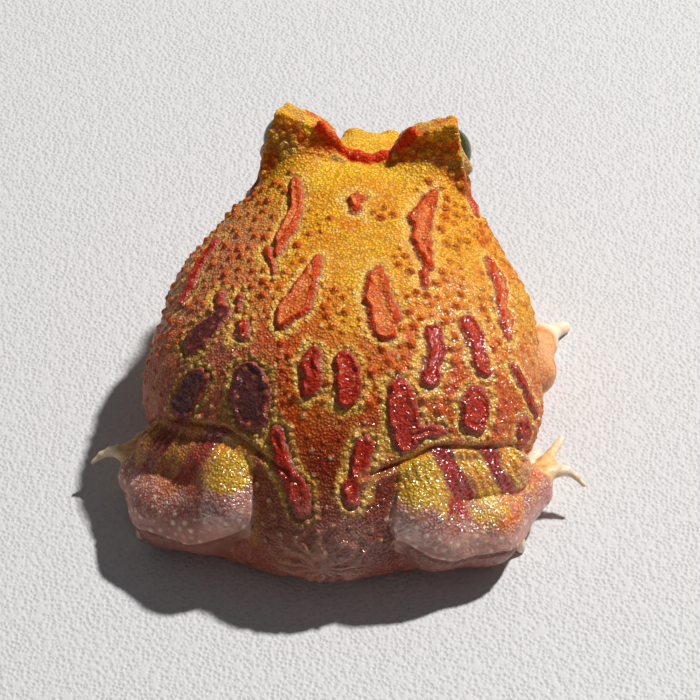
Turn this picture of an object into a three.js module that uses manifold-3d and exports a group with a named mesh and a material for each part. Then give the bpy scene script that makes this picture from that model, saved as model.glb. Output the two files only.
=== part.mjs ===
// A life-size argentine horned frog, sitting with its belly and feet on the floor.
// Millimetres, +Z up, +Y the way the frog faces, +X its right side.
import * as THREE from "three";
import { mergeVertices } from "three/addons/utils/BufferGeometryUtils.js";
import Module from "manifold-3d";

const wasm = await Module();
wasm.setup();

// Driving sizes
const GAP = 0.3; // between neighbouring pieces
const BODY_STEP = 4.4; // mesh step of the torso
const HEAD_STEP = 3.0; // mesh step of the head
const LIMB_STEP = 3.1; // mesh step of arms and legs
const PALM_STEP = 2.2; // mesh step of the palms
const LID_STEP = 1.8; // mesh step of the eyelids

const EYE = { x: 15.2, y: 47.6, z: 39.4, r: 5.2 };
const EYE_AXIS = [0.863, 0.421, 0.281]; // the way the right eye looks
const BROW = { r: 6.3, behind: 2 }; // flesh that holds the eyeball, its middle this far behind the eye's
const NECK = { y: 31, z: 24, tilt: 14 }; // the cut between head and torso, tilt in degrees
const MOUTH = { z: 18.6, corner: 35 }; // the cut between the jaws
const LIP = { r: 1.25, rise: 1.1, sweep: 90 }; // rolls above and below the mouth, swept round in degrees
const LOWER_LID = { ring: 5.0, out: 1.8, r: 1.4 };
const NOSTRIL = { x: 3.7, y: 60.4, z: 28.6, r: 0.8 };

// Flesh is a smooth union of lumps: ball = [centre, radii], cone = [start, end, start radius, end radius]
const TORSO = [
  { ball: [[0, 2.5, 15.5], [38, 25.5, 21]] },
  { ball: [[0, 9, 20.5], [33, 27, 20.5]] },
  { ball: [[0, 22, 19.5], [34.5, 21, 20]] },
  { ball: [[0, -16, 11], [19, 18.5, 14.5]] },
];
const browAt = (side) =>
  [EYE.x, EYE.y, EYE.z].map((c, m) => (m === 0 ? side : 1) * (c - BROW.behind * EYE_AXIS[m]));
const HEAD = [
  { ball: [[0, 34, 25.5], [25, 19, 16.2]] },
  { ball: [[0, 40, 18.5], [25, 22.5, 12.5]] },
  { ball: [[0, 49.5, 25.2], [12.5, 12.5, 9.6]] },
  { cone: [[-11.8, 40, 34], browAt(-1), 7.0, BROW.r] },
  { cone: [[11.8, 40, 34], browAt(1), 7.0, BROW.r] },
];
const TORSO_BLEND = 9;
const HEAD_BLEND = 5;
const NECK_BLEND = 8;

// The upper lid stands over the eye like a box: its outer corner is the horn, the crest starts at the inner
const LID = [
  { cone: [[11, 41, 39.5], [13.6, 46, 42.4], 4.8, 5.0] },
  { cone: [[14.6, 46, 44], [16, 45.3, 50.2], 3.6, 0.9] },
  { cone: [[11.4, 45, 43.5], [9.6, 44.6, 47.4], 3.4, 1.2] },
];
const LID_BLEND = 3;

// The legs are folded under the flanks, the soles turned back. Each is a chain of joints.
const LEGS = {
  right: {
    hip: [8, -21.5, 6.5], thighEnd: [27, -16, 5.5], knee: [30, -9.5, 13.5], ankle: [15, -16.5, 18.5],
    heel: [14.6, -20, 15], sole: [20, -22, 10], instep: [29, -18.5, 8], ball: [37.5, -9.5, 8],
  },
  left: {
    hip: [-8, -23, 6.5], thighEnd: [-27, -18.5, 5.5], knee: [-30.5, -12, 12.5], ankle: [-17.5, -18.5, 17.5],
    heel: [-17.4, -21.5, 15], sole: [-21.5, -23, 10.5], instep: [-29, -20.5, 8], ball: [-37.5, -12, 8],
  },
};
const LEG_RADII = { hip: 8.4, thighEnd: 7, knee: 7, ankle: 7.6, heel: 7.2, sole: 7.2, instep: 7.2, ball: 4 };
const LEG_BLEND = 3;
// The toes, first to fifth, on the right side and counted from the ball of the foot
const TOES = [
  { path: [[-7.5, 0.5, -4], [-5, 6.5, -5], [-3.5, 11.5, -7.2]], r: [1.8, 1.4, 1.0] },
  { path: [[-4.5, 1.5, -3], [-1.5, 8.5, -4], [0, 15, -7.2]], r: [2.0, 1.5, 1.0] },
  { path: [[-2, 0.5, -0.6], [2, 8, -1], [4.9, 16.3, -3.4]], r: [2.6, 1.8, 1.0] },
  { path: [[-1.5, -0.5, 0], [4.5, 4.7, 1], [9.7, 3.7, -1.6]], r: [3.0, 2.0, 0.8] },
  { path: [[-4.5, -6.5, -2], [-1.5, -8, -5], [0.3, -9.3, -7.3]], r: [2.4, 1.6, 0.9] },
];
const TOE_TUCK = { right: 0, left: 7 }; // how far the third toe's tip lies further in
// The web between neighbouring toes: a thin sheet, from their roots to part of the way along them
const WEB = { thickness: 0.9, reach: 0.55 };

const ARMS = {
  right: {
    shoulder: [27, 26, 14], elbow: [36.2, 21.5, 7], forearm: [36.4, 22.3, 5.6], wrist: [36.4, 30.5, 4.4],
    palm: [36, 33, 2.8],
    fingers: [48, 122, 148, 175], // their directions, in degrees from +X
  },
  left: {
    shoulder: [-27, 26, 14], elbow: [-34.8, 19.5, 9], forearm: [-34.6, 21, 6.2], wrist: [-30.5, 32, 4.6],
    palm: [-28.6, 35.6, 2.8],
    fingers: [122, 88, 58, 22],
  },
};
const ARM_RADII = { shoulder: 7.5, elbow: 5.3, forearm: 5.3, wrist: 4, palm: [4.3, 4.3, 3] };
const FINGER = { reach: [7.9, 9.2, 8.8, 7.8], radii: [2.1, 1.5, 1.1], heights: [2.6, 2.1, 0.9] };

// The raised forms of the back. A place on the body is [along, around]: millimetres towards the head, and
// degrees from the top towards the right, seen from a line that runs through the body at this height.
const AXIS_HEIGHT = 15;
const WART = { sides: 5, sunk: 1.2, shoulder: 0.55 };
const WART_ROWS = { from: -12, to: 28, spacing: 7, widest: 62, jitter: 1.6, clear: 2.2 };
const WART_SIZES = { base: [1.1, 1.7], height: [0.8, 1.5] };
const WART_SEED = 11;
const CREST_TEETH = { count: 5, end: 47, dip: 3.6, reach: 16, base: 1.3, height: 1.5 };
const BAR = { height: 1.0, sunk: 1.4, slope: 0.7 };
// Raised red bars and blotches: their middle line and half their width
const BARS = [
  { line: [[34, -25], [27, -24], [16.5, -28]], half: 1.5 },
  { line: [[34, 28], [25, 25], [14, 30]], half: 1.9 },
  { line: [[15, -12], [7, -16], [0, -22]], half: 2.6 },
  { line: [[14, 12], [6, 14], [-1.5, 19]], half: 2.9 },
  { line: [[30, 0], [25.5, 0]], half: 2.0 },
  { line: [[23, 54], [8.5, 61]], half: 1.5 },
  { line: [[1, 38], [-7, 43]], half: 1.9 },
  { line: [[6, 48], [-2, 57]], half: 1.8 },
  { line: [[-6.5, 60], [-11, 66]], half: 2.8 },
  { line: [[-10.5, 32], [-17, 46]], half: 2.0 },
  { line: [[-7.5, 5], [-13.5, 9]], half: 2.4 },
  { line: [[-7, -11], [-11, -11]], half: 1.6 },
  { line: [[-10.5, -38], [-15.5, -43]], half: 3.4 },
  { line: [[-8, -61], [-11, -69]], half: 2.6 },
  { line: [[-19, 26], [-27, 33]], half: 1.8 },
  { line: [[-19, -33], [-29, -30]], half: 1.6 },
];

// Signed distances
const length = (x, y, z) => Math.sqrt(x * x + y * y + z * z);

function ballDistance([c, r], x, y, z) {
  const px = x - c[0], py = y - c[1], pz = z - c[2];
  const near = length(px / r[0], py / r[1], pz / r[2]);
  const far = length(px / r[0] ** 2, py / r[1] ** 2, pz / r[2] ** 2);
  return far < 1e-9 ? -Math.min(...r) : (near * (near - 1)) / far;
}

function coneDistance([a, b, ra, rb], x, y, z) {
  const bx = b[0] - a[0], by = b[1] - a[1], bz = b[2] - a[2];
  const px = x - a[0], py = y - a[1], pz = z - a[2];
  const t = Math.min(1, Math.max(0, (px * bx + py * by + pz * bz) / (bx * bx + by * by + bz * bz)));
  return length(px - bx * t, py - by * t, pz - bz * t) - (ra + (rb - ra) * t);
}

const lumpDistance = (lump, x, y, z) =>
  lump.ball ? ballDistance(lump.ball, x, y, z) : coneDistance(lump.cone, x, y, z);

function blend(a, b, k) {
  const h = Math.min(1, Math.max(0, 0.5 + (0.5 * (b - a)) / k));
  return b + (a - b) * h - k * h * (1 - h);
}

const flesh = (lumps, k) => (x, y, z) =>
  lumps.reduce((d, lump) => blend(d, lumpDistance(lump, x, y, z), k), 1e3);

const torsoField = flesh(TORSO, TORSO_BLEND);
const headField = flesh(HEAD, HEAD_BLEND);
const bodyField = (x, y, z) => blend(torsoField(x, y, z), headField(x, y, z), NECK_BLEND);

// The box round a list of lumps, widened by a margin
function lumpBox(lumps, margin) {
  const box = new THREE.Box3();
  for (const lump of lumps) {
    if (lump.ball) {
      const [c, r] = lump.ball;
      box.expandByPoint(new THREE.Vector3(c[0] - r[0], c[1] - r[1], c[2] - r[2]));
      box.expandByPoint(new THREE.Vector3(c[0] + r[0], c[1] + r[1], c[2] + r[2]));
    } else {
      const [a, b, ra, rb] = lump.cone;
      for (const [p, r] of [[a, ra], [b, rb]]) {
        box.expandByPoint(new THREE.Vector3(p[0] - r, p[1] - r, p[2] - r));
        box.expandByPoint(new THREE.Vector3(p[0] + r, p[1] + r, p[2] + r));
      }
    }
  }
  return box.expandByScalar(margin);
}

// The closed surface where a field is zero: one point in each grid cell that it crosses, moved onto it
function skinOf(field, box, step) {
  const size = box.getSize(new THREE.Vector3());
  const n = [size.x, size.y, size.z].map((s) => Math.ceil(s / step) + 2);
  const at = (i, j, k) => (k * n[1] + j) * n[0] + i;
  const low = box.min;
  const values = new Float64Array(n[0] * n[1] * n[2]);
  for (let k = 0; k < n[2]; k++)
    for (let j = 0; j < n[1]; j++)
      for (let i = 0; i < n[0]; i++)
        values[at(i, j, k)] = field(low.x + i * step, low.y + j * step, low.z + k * step);

  const points = [];
  const cellPoint = new Map();
  const corners = [[0, 0, 0], [1, 0, 0], [0, 1, 0], [1, 1, 0], [0, 0, 1], [1, 0, 1], [0, 1, 1], [1, 1, 1]];
  const edges = [
    [0, 1], [2, 3], [4, 5], [6, 7], [0, 2], [1, 3], [4, 6], [5, 7], [0, 4], [1, 5], [2, 6], [3, 7],
  ];
  for (let k = 0; k < n[2] - 1; k++)
    for (let j = 0; j < n[1] - 1; j++)
      for (let i = 0; i < n[0] - 1; i++) {
        const v = corners.map(([a, b, c]) => values[at(i + a, j + b, k + c)]);
        const sum = [0, 0, 0];
        let crossings = 0;
        for (const [a, b] of edges) {
          if (v[a] < 0 === v[b] < 0) continue;
          const t = v[a] / (v[a] - v[b]);
          for (let m = 0; m < 3; m++) sum[m] += corners[a][m] + t * (corners[b][m] - corners[a][m]);
          crossings++;
        }
        if (!crossings) continue;
        cellPoint.set(at(i, j, k), points.length / 3);
        const p = [i, j, k].map((c, m) => low.getComponent(m) + (c + sum[m] / crossings) * step);
        points.push(...ontoSurface(field, p, step));
      }

  const faces = [];
  const quad = (a, b, c, d, flip) => {
    const diagonal = (p, q) => length(...[0, 1, 2].map((m) => points[3 * p + m] - points[3 * q + m]));
    const halves = diagonal(a, c) < diagonal(b, d) ? [a, b, c, a, c, d] : [a, b, d, b, c, d];
    if (flip) halves.reverse();
    faces.push(...halves);
  };
  for (let k = 1; k < n[2] - 1; k++)
    for (let j = 1; j < n[1] - 1; j++)
      for (let i = 1; i < n[0] - 1; i++) {
        const inside = values[at(i, j, k)] < 0;
        const cell = (a, b, c) => cellPoint.get(at(i - a, j - b, k - c));
        const quadAcross = (next, ring) => {
          if (inside !== values[next] < 0) quad(...ring.map((c) => cell(...c)), !inside);
        };
        quadAcross(at(i + 1, j, k), [[0, 1, 1], [0, 0, 1], [0, 0, 0], [0, 1, 0]]);
        quadAcross(at(i, j + 1, k), [[1, 0, 1], [1, 0, 0], [0, 0, 0], [0, 0, 1]]);
        quadAcross(at(i, j, k + 1), [[1, 1, 0], [0, 1, 0], [0, 0, 0], [1, 0, 0]]);
      }
  return solid(new Float32Array(points), new Uint32Array(faces));
}

// Moves a point down the field's slope to where the field is zero, by at most half a step
function ontoSurface(field, p, step) {
  const q = [...p];
  const e = 0.02;
  for (let round = 0; round < 3; round++) {
    const d = field(...q);
    const g = [0, 1, 2].map((m) => {
      const ahead = [...q];
      ahead[m] += e;
      return (field(...ahead) - d) / e;
    });
    const squared = g[0] ** 2 + g[1] ** 2 + g[2] ** 2 + 1e-9;
    for (let m = 0; m < 3; m++) q[m] -= (d * g[m]) / squared;
  }
  const reach = Math.max(...q.map((c, m) => Math.abs(c - p[m])));
  const share = Math.min(1, (0.5 * step) / (reach + 1e-9));
  return p.map((c, m) => c + (q[m] - c) * share);
}

// Solids and booleans
const solid = (vertProperties, triVerts) =>
  new wasm.Manifold(new wasm.Mesh({ numProp: 3, vertProperties, triVerts }));

// A solid from points and faces, turned inside out where its faces point in
function outward(points, faces) {
  const body = solid(new Float32Array(points), new Uint32Array(faces));
  return body.volume() < 0 ? solid(new Float32Array(points), new Uint32Array(faces.reverse())) : body;
}

function solidOf(geometry) {
  geometry.deleteAttribute("normal");
  geometry.deleteAttribute("uv");
  const merged = mergeVertices(geometry, 1e-4);
  return solid(merged.attributes.position.array, new Uint32Array(merged.index.array));
}

function geometryOf(body) {
  const m = body.getMesh();
  const positions = new Float32Array(m.numVert * 3);
  for (let i = 0; i < m.numVert; i++)
    for (let c = 0; c < 3; c++) positions[3 * i + c] = m.vertProperties[m.numProp * i + c];
  const g = new THREE.BufferGeometry();
  g.setAttribute("position", new THREE.BufferAttribute(positions, 3));
  g.setIndex(new THREE.BufferAttribute(new Uint32Array(m.triVerts), 1));
  g.computeVertexNormals();
  return g;
}

const largest = (body) => body.decompose().reduce((a, b) => (b.volume() > a.volume() ? b : a));
const fuse = (bodies) => bodies.reduce((a, b) => a.add(b));

function block(sx, sy, sz, x, y, z, pitchDegrees = 0) {
  const g = new THREE.BoxGeometry(sx, sy, sz);
  g.rotateX(THREE.MathUtils.degToRad(pitchDegrees));
  g.translate(x, y, z);
  return solidOf(g);
}

// A tube with round ends along a smooth path, its radius running through the given radii
function tube({ path, r }, sides = 6, rings = 4) {
  const curve = new THREE.CatmullRomCurve3(path.map((p) => new THREE.Vector3(...p)));
  const radiusAt = (t) => {
    const s = t * (r.length - 1);
    const i = Math.min(r.length - 2, Math.floor(s));
    return r[i] + (r[i + 1] - r[i]) * (s - i);
  };
  const capRings = 2;
  const sections = [];
  for (let c = 1; c <= capRings; c++) sections.push({ t: 0, a: (c / capRings) * 90 - 90 });
  for (let i = 1; i < rings; i++) sections.push({ t: i / rings, a: 0 });
  for (let c = 0; c < capRings; c++) sections.push({ t: 1, a: (c / capRings) * 90 });
  const up = new THREE.Vector3(0, 0, 1);
  const points = [];
  const ringPoints = ({ t, a }) => {
    const angle = THREE.MathUtils.degToRad(a);
    const ahead = curve.getTangentAt(t);
    const side = new THREE.Vector3().crossVectors(ahead, up).normalize();
    const top = new THREE.Vector3().crossVectors(side, ahead);
    const centre = curve.getPointAt(t).addScaledVector(ahead, radiusAt(t) * Math.sin(angle));
    for (let i = 0; i < sides; i++) {
      const turn = (2 * Math.PI * i) / sides;
      const p = centre.clone()
        .addScaledVector(side, radiusAt(t) * Math.cos(angle) * Math.cos(turn))
        .addScaledVector(top, radiusAt(t) * Math.cos(angle) * Math.sin(turn));
      points.push(p.x, p.y, p.z);
    }
  };
  sections.forEach(ringPoints);
  const faces = [];
  for (let s = 0; s < sections.length - 1; s++)
    for (let i = 0; i < sides; i++) {
      const a = s * sides + i, b = s * sides + ((i + 1) % sides);
      faces.push(a, b, b + sides, a, b + sides, a + sides);
    }
  const start = points.length / 3;
  const first = curve.getPointAt(0).addScaledVector(curve.getTangentAt(0), -r[0]);
  const last = curve.getPointAt(1).addScaledVector(curve.getTangentAt(1), r.at(-1));
  points.push(first.x, first.y, first.z, last.x, last.y, last.z);
  const end = (sections.length - 1) * sides;
  for (let i = 0; i < sides; i++) {
    faces.push(start, (i + 1) % sides, i);
    faces.push(start + 1, end + i, end + ((i + 1) % sides));
  }
  return outward(points, faces);
}

const mirror = (body) => body.mirror([1, 0, 0]);
const floorCut = block(300, 300, 60, 0, 0, -30);
const onFloor = (body) => body.subtract(floorCut);

// Head and torso, cut apart by a thin tilted slab
function wholeBody(step, level = 0) {
  const box = lumpBox([...TORSO, ...HEAD], 3 * step);
  return skinOf((x, y, z) => bodyField(x, y, z) - level, box, step);
}
const far = 200;
const neckSide = (forward) => {
  const tilt = THREE.MathUtils.degToRad(NECK.tilt);
  const shift = (forward ? 1 : -1) * (far / 2 + GAP / 2);
  return block(far, far, far, 0, NECK.y + shift * Math.cos(tilt), NECK.z + shift * Math.sin(tilt), NECK.tilt);
};

// The point of the body's surface straight out from the middle of the mouth, at an angle from straight ahead
function lipPoint(degrees, z) {
  const angle = THREE.MathUtils.degToRad(degrees);
  let inside = 0, outside = 60;
  for (let i = 0; i < 24; i++) {
    const t = (inside + outside) / 2;
    if (bodyField(Math.sin(angle) * t, MOUTH.corner + Math.cos(angle) * t, z) < 0) inside = t;
    else outside = t;
  }
  return [Math.sin(angle) * inside, MOUTH.corner + Math.cos(angle) * inside, z];
}
function lip(side) {
  const count = 13;
  const path = Array.from({ length: count }, (_, i) =>
    lipPoint(LIP.sweep * ((2 * i) / (count - 1) - 1), MOUTH.z + side * LIP.rise));
  return tube({ path, r: [0.5, LIP.r, LIP.r, LIP.r, 0.5] }, 6, 14);
}

// The skin's point and outward direction at a place on the body
function skinPlace([along, around]) {
  const turn = THREE.MathUtils.degToRad(around);
  const out = [Math.sin(turn), 0, Math.cos(turn)];
  const at = (t) => [out[0] * t, along, AXIS_HEIGHT + out[2] * t];
  let inside = 0, outside = 60;
  for (let i = 0; i < 24; i++) {
    const t = (inside + outside) / 2;
    if (bodyField(...at(t)) < 0) inside = t;
    else outside = t;
  }
  const point = at(inside);
  const e = 0.05;
  const slope = [0, 1, 2].map((m) => bodyField(...point.map((c, i) => c + (i === m ? e : 0))));
  const base = bodyField(...point);
  const normal = new THREE.Vector3(...slope.map((d) => d - base)).normalize();
  return { point: new THREE.Vector3(...point), normal };
}

// A wart: a pointed cone with its root sunk in the skin
function wart({ point, normal }, base, height) {
  const side = new THREE.Vector3(normal.y, -normal.x, 0.01).normalize();
  const other = new THREE.Vector3().crossVectors(normal, side);
  const points = [];
  for (const [r, lift] of [[base, -WART.sunk], [base * WART.shoulder, height * WART.shoulder]])
    for (let i = 0; i < WART.sides; i++) {
      const turn = (2 * Math.PI * i) / WART.sides;
      const p = point.clone().addScaledVector(normal, lift)
        .addScaledVector(side, r * Math.cos(turn))
        .addScaledVector(other, r * Math.sin(turn));
      points.push(p.x, p.y, p.z);
    }
  for (const lift of [-WART.sunk, height]) {
    const p = point.clone().addScaledVector(normal, lift);
    points.push(p.x, p.y, p.z);
  }
  const n = WART.sides;
  const faces = [];
  for (let i = 0; i < n; i++) {
    const j = (i + 1) % n;
    faces.push(i, j, n + j, i, n + j, n + i, 2 * n, j, i, 2 * n + 1, n + i, n + j);
  }
  return outward(points, faces);
}

// A raised bar: a flat-topped strip along a line on the skin, narrow at its ends
function bar({ line, half }, grow = 0) {
  const stations = 2 * line.length;
  const points = [];
  for (let s = 0; s < stations; s++) {
    const along = (s / (stations - 1)) * (line.length - 1);
    const i = Math.min(line.length - 2, Math.floor(along));
    const mix = (share) => [0, 1].map((m) => line[i][m] + (line[i + 1][m] - line[i][m]) * share);
    const { point, normal } = skinPlace(mix(along - i));
    const ahead = skinPlace(mix(1)).point.sub(skinPlace(mix(0)).point).normalize();
    const across = new THREE.Vector3().crossVectors(normal, ahead).normalize();
    const wide = half * (s === 0 || s === stations - 1 ? 0.5 : 1) + grow;
    point.addScaledVector(ahead, s === 0 ? -grow : s === stations - 1 ? grow : 0);
    const top = BAR.height + grow;
    for (const [side, lift] of [[-1, -BAR.sunk], [-BAR.slope, top], [BAR.slope, top], [1, -BAR.sunk]]) {
      const p = point.clone().addScaledVector(across, side * wide).addScaledVector(normal, lift);
      points.push(p.x, p.y, p.z);
    }
  }
  const faces = [0, 1, 2, 0, 2, 3];
  for (let s = 0; s < stations - 1; s++)
    for (let i = 0; i < 4; i++) {
      const a = 4 * s + i, b = 4 * s + ((i + 1) % 4);
      faces.push(a, a + 4, b + 4, a, b + 4, b);
    }
  const end = 4 * (stations - 1);
  faces.push(end, end + 2, end + 1, end, end + 3, end + 2);
  return outward(points, faces);
}

// Numbers from 0 to 1 that come out the same each time
function draws(seed) {
  let state = seed;
  return () => {
    state = (state * 1103515245 + 12345) % 2147483648;
    return state / 2147483648;
  };
}

// Rows of warts over the back and shoulders, clear of the bars
function backWarts(grow = 0) {
  const draw = draws(WART_SEED);
  const between = ([low, high]) => low + (high - low) * draw();
  const taken = BARS.flatMap(({ line, half }) => line.map((place) => ({ p: skinPlace(place).point, half })));
  const warts = [];
  for (let along = WART_ROWS.from, row = 0; along <= WART_ROWS.to; along += WART_ROWS.spacing, row++) {
    const radius = skinPlace([along, 0]).point.z;
    const stride = THREE.MathUtils.radToDeg(WART_ROWS.spacing / radius);
    const first = -WART_ROWS.widest + (row % 2) * stride * 0.5;
    for (let around = first; around < WART_ROWS.widest; around += stride) {
      const shift = () => (draw() - 0.5) * 2 * WART_ROWS.jitter;
      const place = skinPlace([along + shift(), around + shift() * (stride / WART_ROWS.spacing)]);
      const size = [between(WART_SIZES.base), between(WART_SIZES.height)];
      if (taken.every((spot) => spot.p.distanceTo(place.point) > spot.half + WART_ROWS.clear))
        warts.push(wart(place, size[0] + grow, size[1] + grow));
    }
  }
  return warts;
}

// The right half of the toothed crest that runs between the lids and dips in the middle
function crest(grow = 0) {
  const teeth = [];
  for (let i = 0; i < CREST_TEETH.count; i++) {
    const t = (i + 0.5) / CREST_TEETH.count;
    const place = skinPlace([CREST_TEETH.end - CREST_TEETH.dip * (1 - t ** 4), CREST_TEETH.reach * t]);
    teeth.push(wart(place, CREST_TEETH.base + grow, CREST_TEETH.height + grow));
  }
  return fuse(teeth);
}

const eyeball = (grow) => {
  const g = new THREE.SphereGeometry(EYE.r + grow, 14, 10);
  g.translate(EYE.x, EYE.y, EYE.z);
  return solidOf(g);
};

// The lower lid: a roll round the eye's lower half
function lowerLid() {
  const axis = new THREE.Vector3(...EYE_AXIS).normalize();
  const side = new THREE.Vector3(0, 0, 1).cross(axis).normalize();
  const up = new THREE.Vector3().crossVectors(axis, side);
  const path = [];
  for (let a = 175; a <= 365; a += 38) {
    const turn = THREE.MathUtils.degToRad(a);
    const p = new THREE.Vector3(EYE.x, EYE.y, EYE.z)
      .addScaledVector(axis, LOWER_LID.out)
      .addScaledVector(side, LOWER_LID.ring * Math.cos(turn))
      .addScaledVector(up, LOWER_LID.ring * Math.sin(turn));
    path.push([p.x, p.y, p.z]);
  }
  return tube({ path, r: [0.7, LOWER_LID.r, LOWER_LID.r, 0.7] }, 6, 8);
}

const nostril = () => {
  const g = new THREE.SphereGeometry(NOSTRIL.r, 8, 6);
  g.translate(NOSTRIL.x, NOSTRIL.y, NOSTRIL.z);
  return solidOf(g);
};
const bothSides = (body) => body.add(mirror(body));
const headGrown = wholeBody(HEAD_STEP, GAP);
const raisedForms = (grow) => fuse([...BARS.map((b) => bar(b, grow)), ...backWarts(grow)]);
const raised = raisedForms(0);
const torsoGrown = wholeBody(BODY_STEP, GAP).add(raisedForms(GAP));
const torso = largest(onFloor(wholeBody(BODY_STEP).add(raised).intersect(neckSide(false))));
const headForms = [raised, bothSides(crest()), bothSides(lowerLid()), lip(1), lip(-1)];
const headFlesh = fuse([wholeBody(HEAD_STEP), ...headForms]);
const headWhole = onFloor(headFlesh.intersect(neckSide(true)))
  .subtract(bothSides(eyeball(GAP)))
  .subtract(bothSides(nostril()));
const jawSide = (upper) =>
  block(far, far, far, 0, MOUTH.corner, MOUTH.z + (upper ? 1 : -1) * (far / 2 + GAP / 2));
const head = largest(headWhole.intersect(jawSide(true)));
const lowerJaw = largest(headWhole.intersect(jawSide(false)));

// Pieces cut clear of what they grow from
const lumpSkin = (lumps, k, step, level = 0) => {
  const field = flesh(lumps, k);
  return skinOf((x, y, z) => field(x, y, z) - level, lumpBox(lumps, 3 * step), step);
};
const lidRoot = fuse([headGrown, bothSides(lowerLid()), bothSides(crest(GAP)), bothSides(eyeball(GAP))]);
const lids = bothSides(lumpSkin(LID, LID_BLEND, LID_STEP)).subtract(lidRoot);
const lidSide = (side) => block(far, far, far, (side * far) / 2, 0, 0);

const shifted = (points, by) => points.map((p) => p.map((c, m) => c + by[m]));

// The toes of one foot, where they are
function toesOf(joints, side) {
  return TOES.map(({ path, r }, i) => {
    const placed = shifted(path.map(([x, y, z]) => [side * x, y, z]), joints.ball);
    if (i === 2) placed.at(-1)[0] -= side * TOE_TUCK[side > 0 ? "right" : "left"];
    return { path: placed, r };
  });
}

function web(toeA, toeB) {
  const curve = (toe) => new THREE.CatmullRomCurve3(toe.path.map((p) => new THREE.Vector3(...p)));
  const part = (toe) => curve(toe).getPointAt(WEB.reach);
  const corners = [toeA.path[0], toeB.path[0], part(toeB).toArray(), part(toeA).toArray()];
  const points = [];
  for (const lift of [-0.5, 0.5])
    for (const [x, y, z] of corners) points.push(x, y, z + lift * WEB.thickness);
  const faces = [0, 1, 2, 0, 2, 3, 4, 6, 5, 4, 7, 6];
  for (let i = 0; i < 4; i++) {
    const j = (i + 1) % 4;
    faces.push(i, i + 4, j + 4, i, j + 4, j);
  }
  return outward(points, faces);
}

const limb = (joints, radii, from, to) => ({ cone: [joints[from], joints[to], radii[from], radii[to]] });

function leg(joints, side) {
  const part = (from, to) => limb(joints, LEG_RADII, from, to);
  const lumps = {
    thigh: [part("hip", "thighEnd")],
    shank: [part("knee", "ankle")],
    foot: [part("heel", "sole"), part("sole", "instep"), part("instep", "ball")],
  };
  const made = (name, level = 0) => lumpSkin(lumps[name], LEG_BLEND, LIMB_STEP, level);
  const toes = toesOf(joints, side);
  const webs = toes.slice(1, 4).map((toe, i) => web(toes[i], toe));
  const foot = fuse([made("foot"), ...toes.map((toe) => tube(toe)), ...webs]);
  return {
    thigh: made("thigh").subtract(made("shank", GAP)),
    shank: made("shank"),
    foot: foot.subtract(made("shank", GAP)).subtract(made("thigh", GAP)),
  };
}
const clearOfTorso = (body) => largest(onFloor(body.subtract(torsoGrown)));

function finger(palm, degrees, reach) {
  const turn = THREE.MathUtils.degToRad(degrees);
  const along = (share, height) =>
    [palm[0] + Math.cos(turn) * reach * share, palm[1] + Math.sin(turn) * reach * share, height];
  const path = [along(0.1, FINGER.heights[0]), along(0.6, FINGER.heights[1]), along(1, FINGER.heights[2])];
  return tube({ path, r: FINGER.radii });
}

function arm(joints) {
  const part = (from, to) => [limb(joints, ARM_RADII, from, to)];
  const forearm = part("forearm", "wrist");
  const forearmGrown = lumpSkin(forearm, LEG_BLEND, LIMB_STEP, GAP);
  const palm = lumpSkin([{ ball: [joints.palm, ARM_RADII.palm] }], LEG_BLEND, PALM_STEP);
  const fingers = joints.fingers.map((degrees, i) => finger(joints.palm, degrees, FINGER.reach[i]));
  return {
    upper_arm: lumpSkin(part("shoulder", "elbow"), LEG_BLEND, LIMB_STEP).subtract(forearmGrown),
    forearm: lumpSkin(forearm, LEG_BLEND, LIMB_STEP),
    hand: fuse([palm, ...fingers]).subtract(forearmGrown),
  };
}

// Colours from the photograph
const COLOURS = {
  skin: { color: 0xd98a2b, roughness: 0.45, metalness: 0 },
  eye: { color: 0x1c2a20, roughness: 0.1, metalness: 0 },
  pale: { color: 0xe8c9a8, roughness: 0.45, metalness: 0 },
};

const frog = new THREE.Group();
function add(name, body, colour) {
  const mesh = new THREE.Mesh(geometryOf(body), new THREE.MeshStandardMaterial(COLOURS[colour]));
  mesh.name = name;
  frog.add(mesh);
}
function addPair(name, body, colour) {
  add(name + "_right", body, colour);
  add(name + "_left", mirror(body), colour);
}

add("torso", torso, "skin");
add("head", head, "skin");
add("lower_jaw", lowerJaw, "skin");
addPair("eye", eyeball(0), "eye");
add("horned_lid_right", largest(lids.intersect(lidSide(1))), "skin");
add("horned_lid_left", largest(lids.intersect(lidSide(-1))), "skin");
for (const [side, joints] of Object.entries(LEGS))
  for (const [name, body] of Object.entries(leg(joints, side === "right" ? 1 : -1)))
    add(name + "_" + side, clearOfTorso(body), name === "foot" ? "pale" : "skin");
for (const [side, joints] of Object.entries(ARMS))
  for (const [name, body] of Object.entries(arm(joints)))
    add(name + "_" + side, clearOfTorso(body), name === "hand" ? "pale" : "skin");

// The origin is on the floor under the middle of the frog's box
const middle = new THREE.Box3().setFromObject(frog).getCenter(new THREE.Vector3());
for (const mesh of frog.children) mesh.position.set(-middle.x, -middle.y, 0);

export default frog;
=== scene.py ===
"""A life-size argentine horned frog on a pale floor, seen from behind and above.

Lengths in the shape code are millimetres in the frog's own axes: +Y the way it faces, +X its right,
z = 0 the floor. place() turns them into the frame's metres. A place on the body is (along, around):
millimetres towards the head, and degrees from the top towards the right, seen from a line that runs
through the body at AXIS_HEIGHT.
"""
import math
import bmesh
import bpy
import numpy as np
from mathutils import Matrix, Vector
from mathutils.kdtree import KDTree


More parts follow.
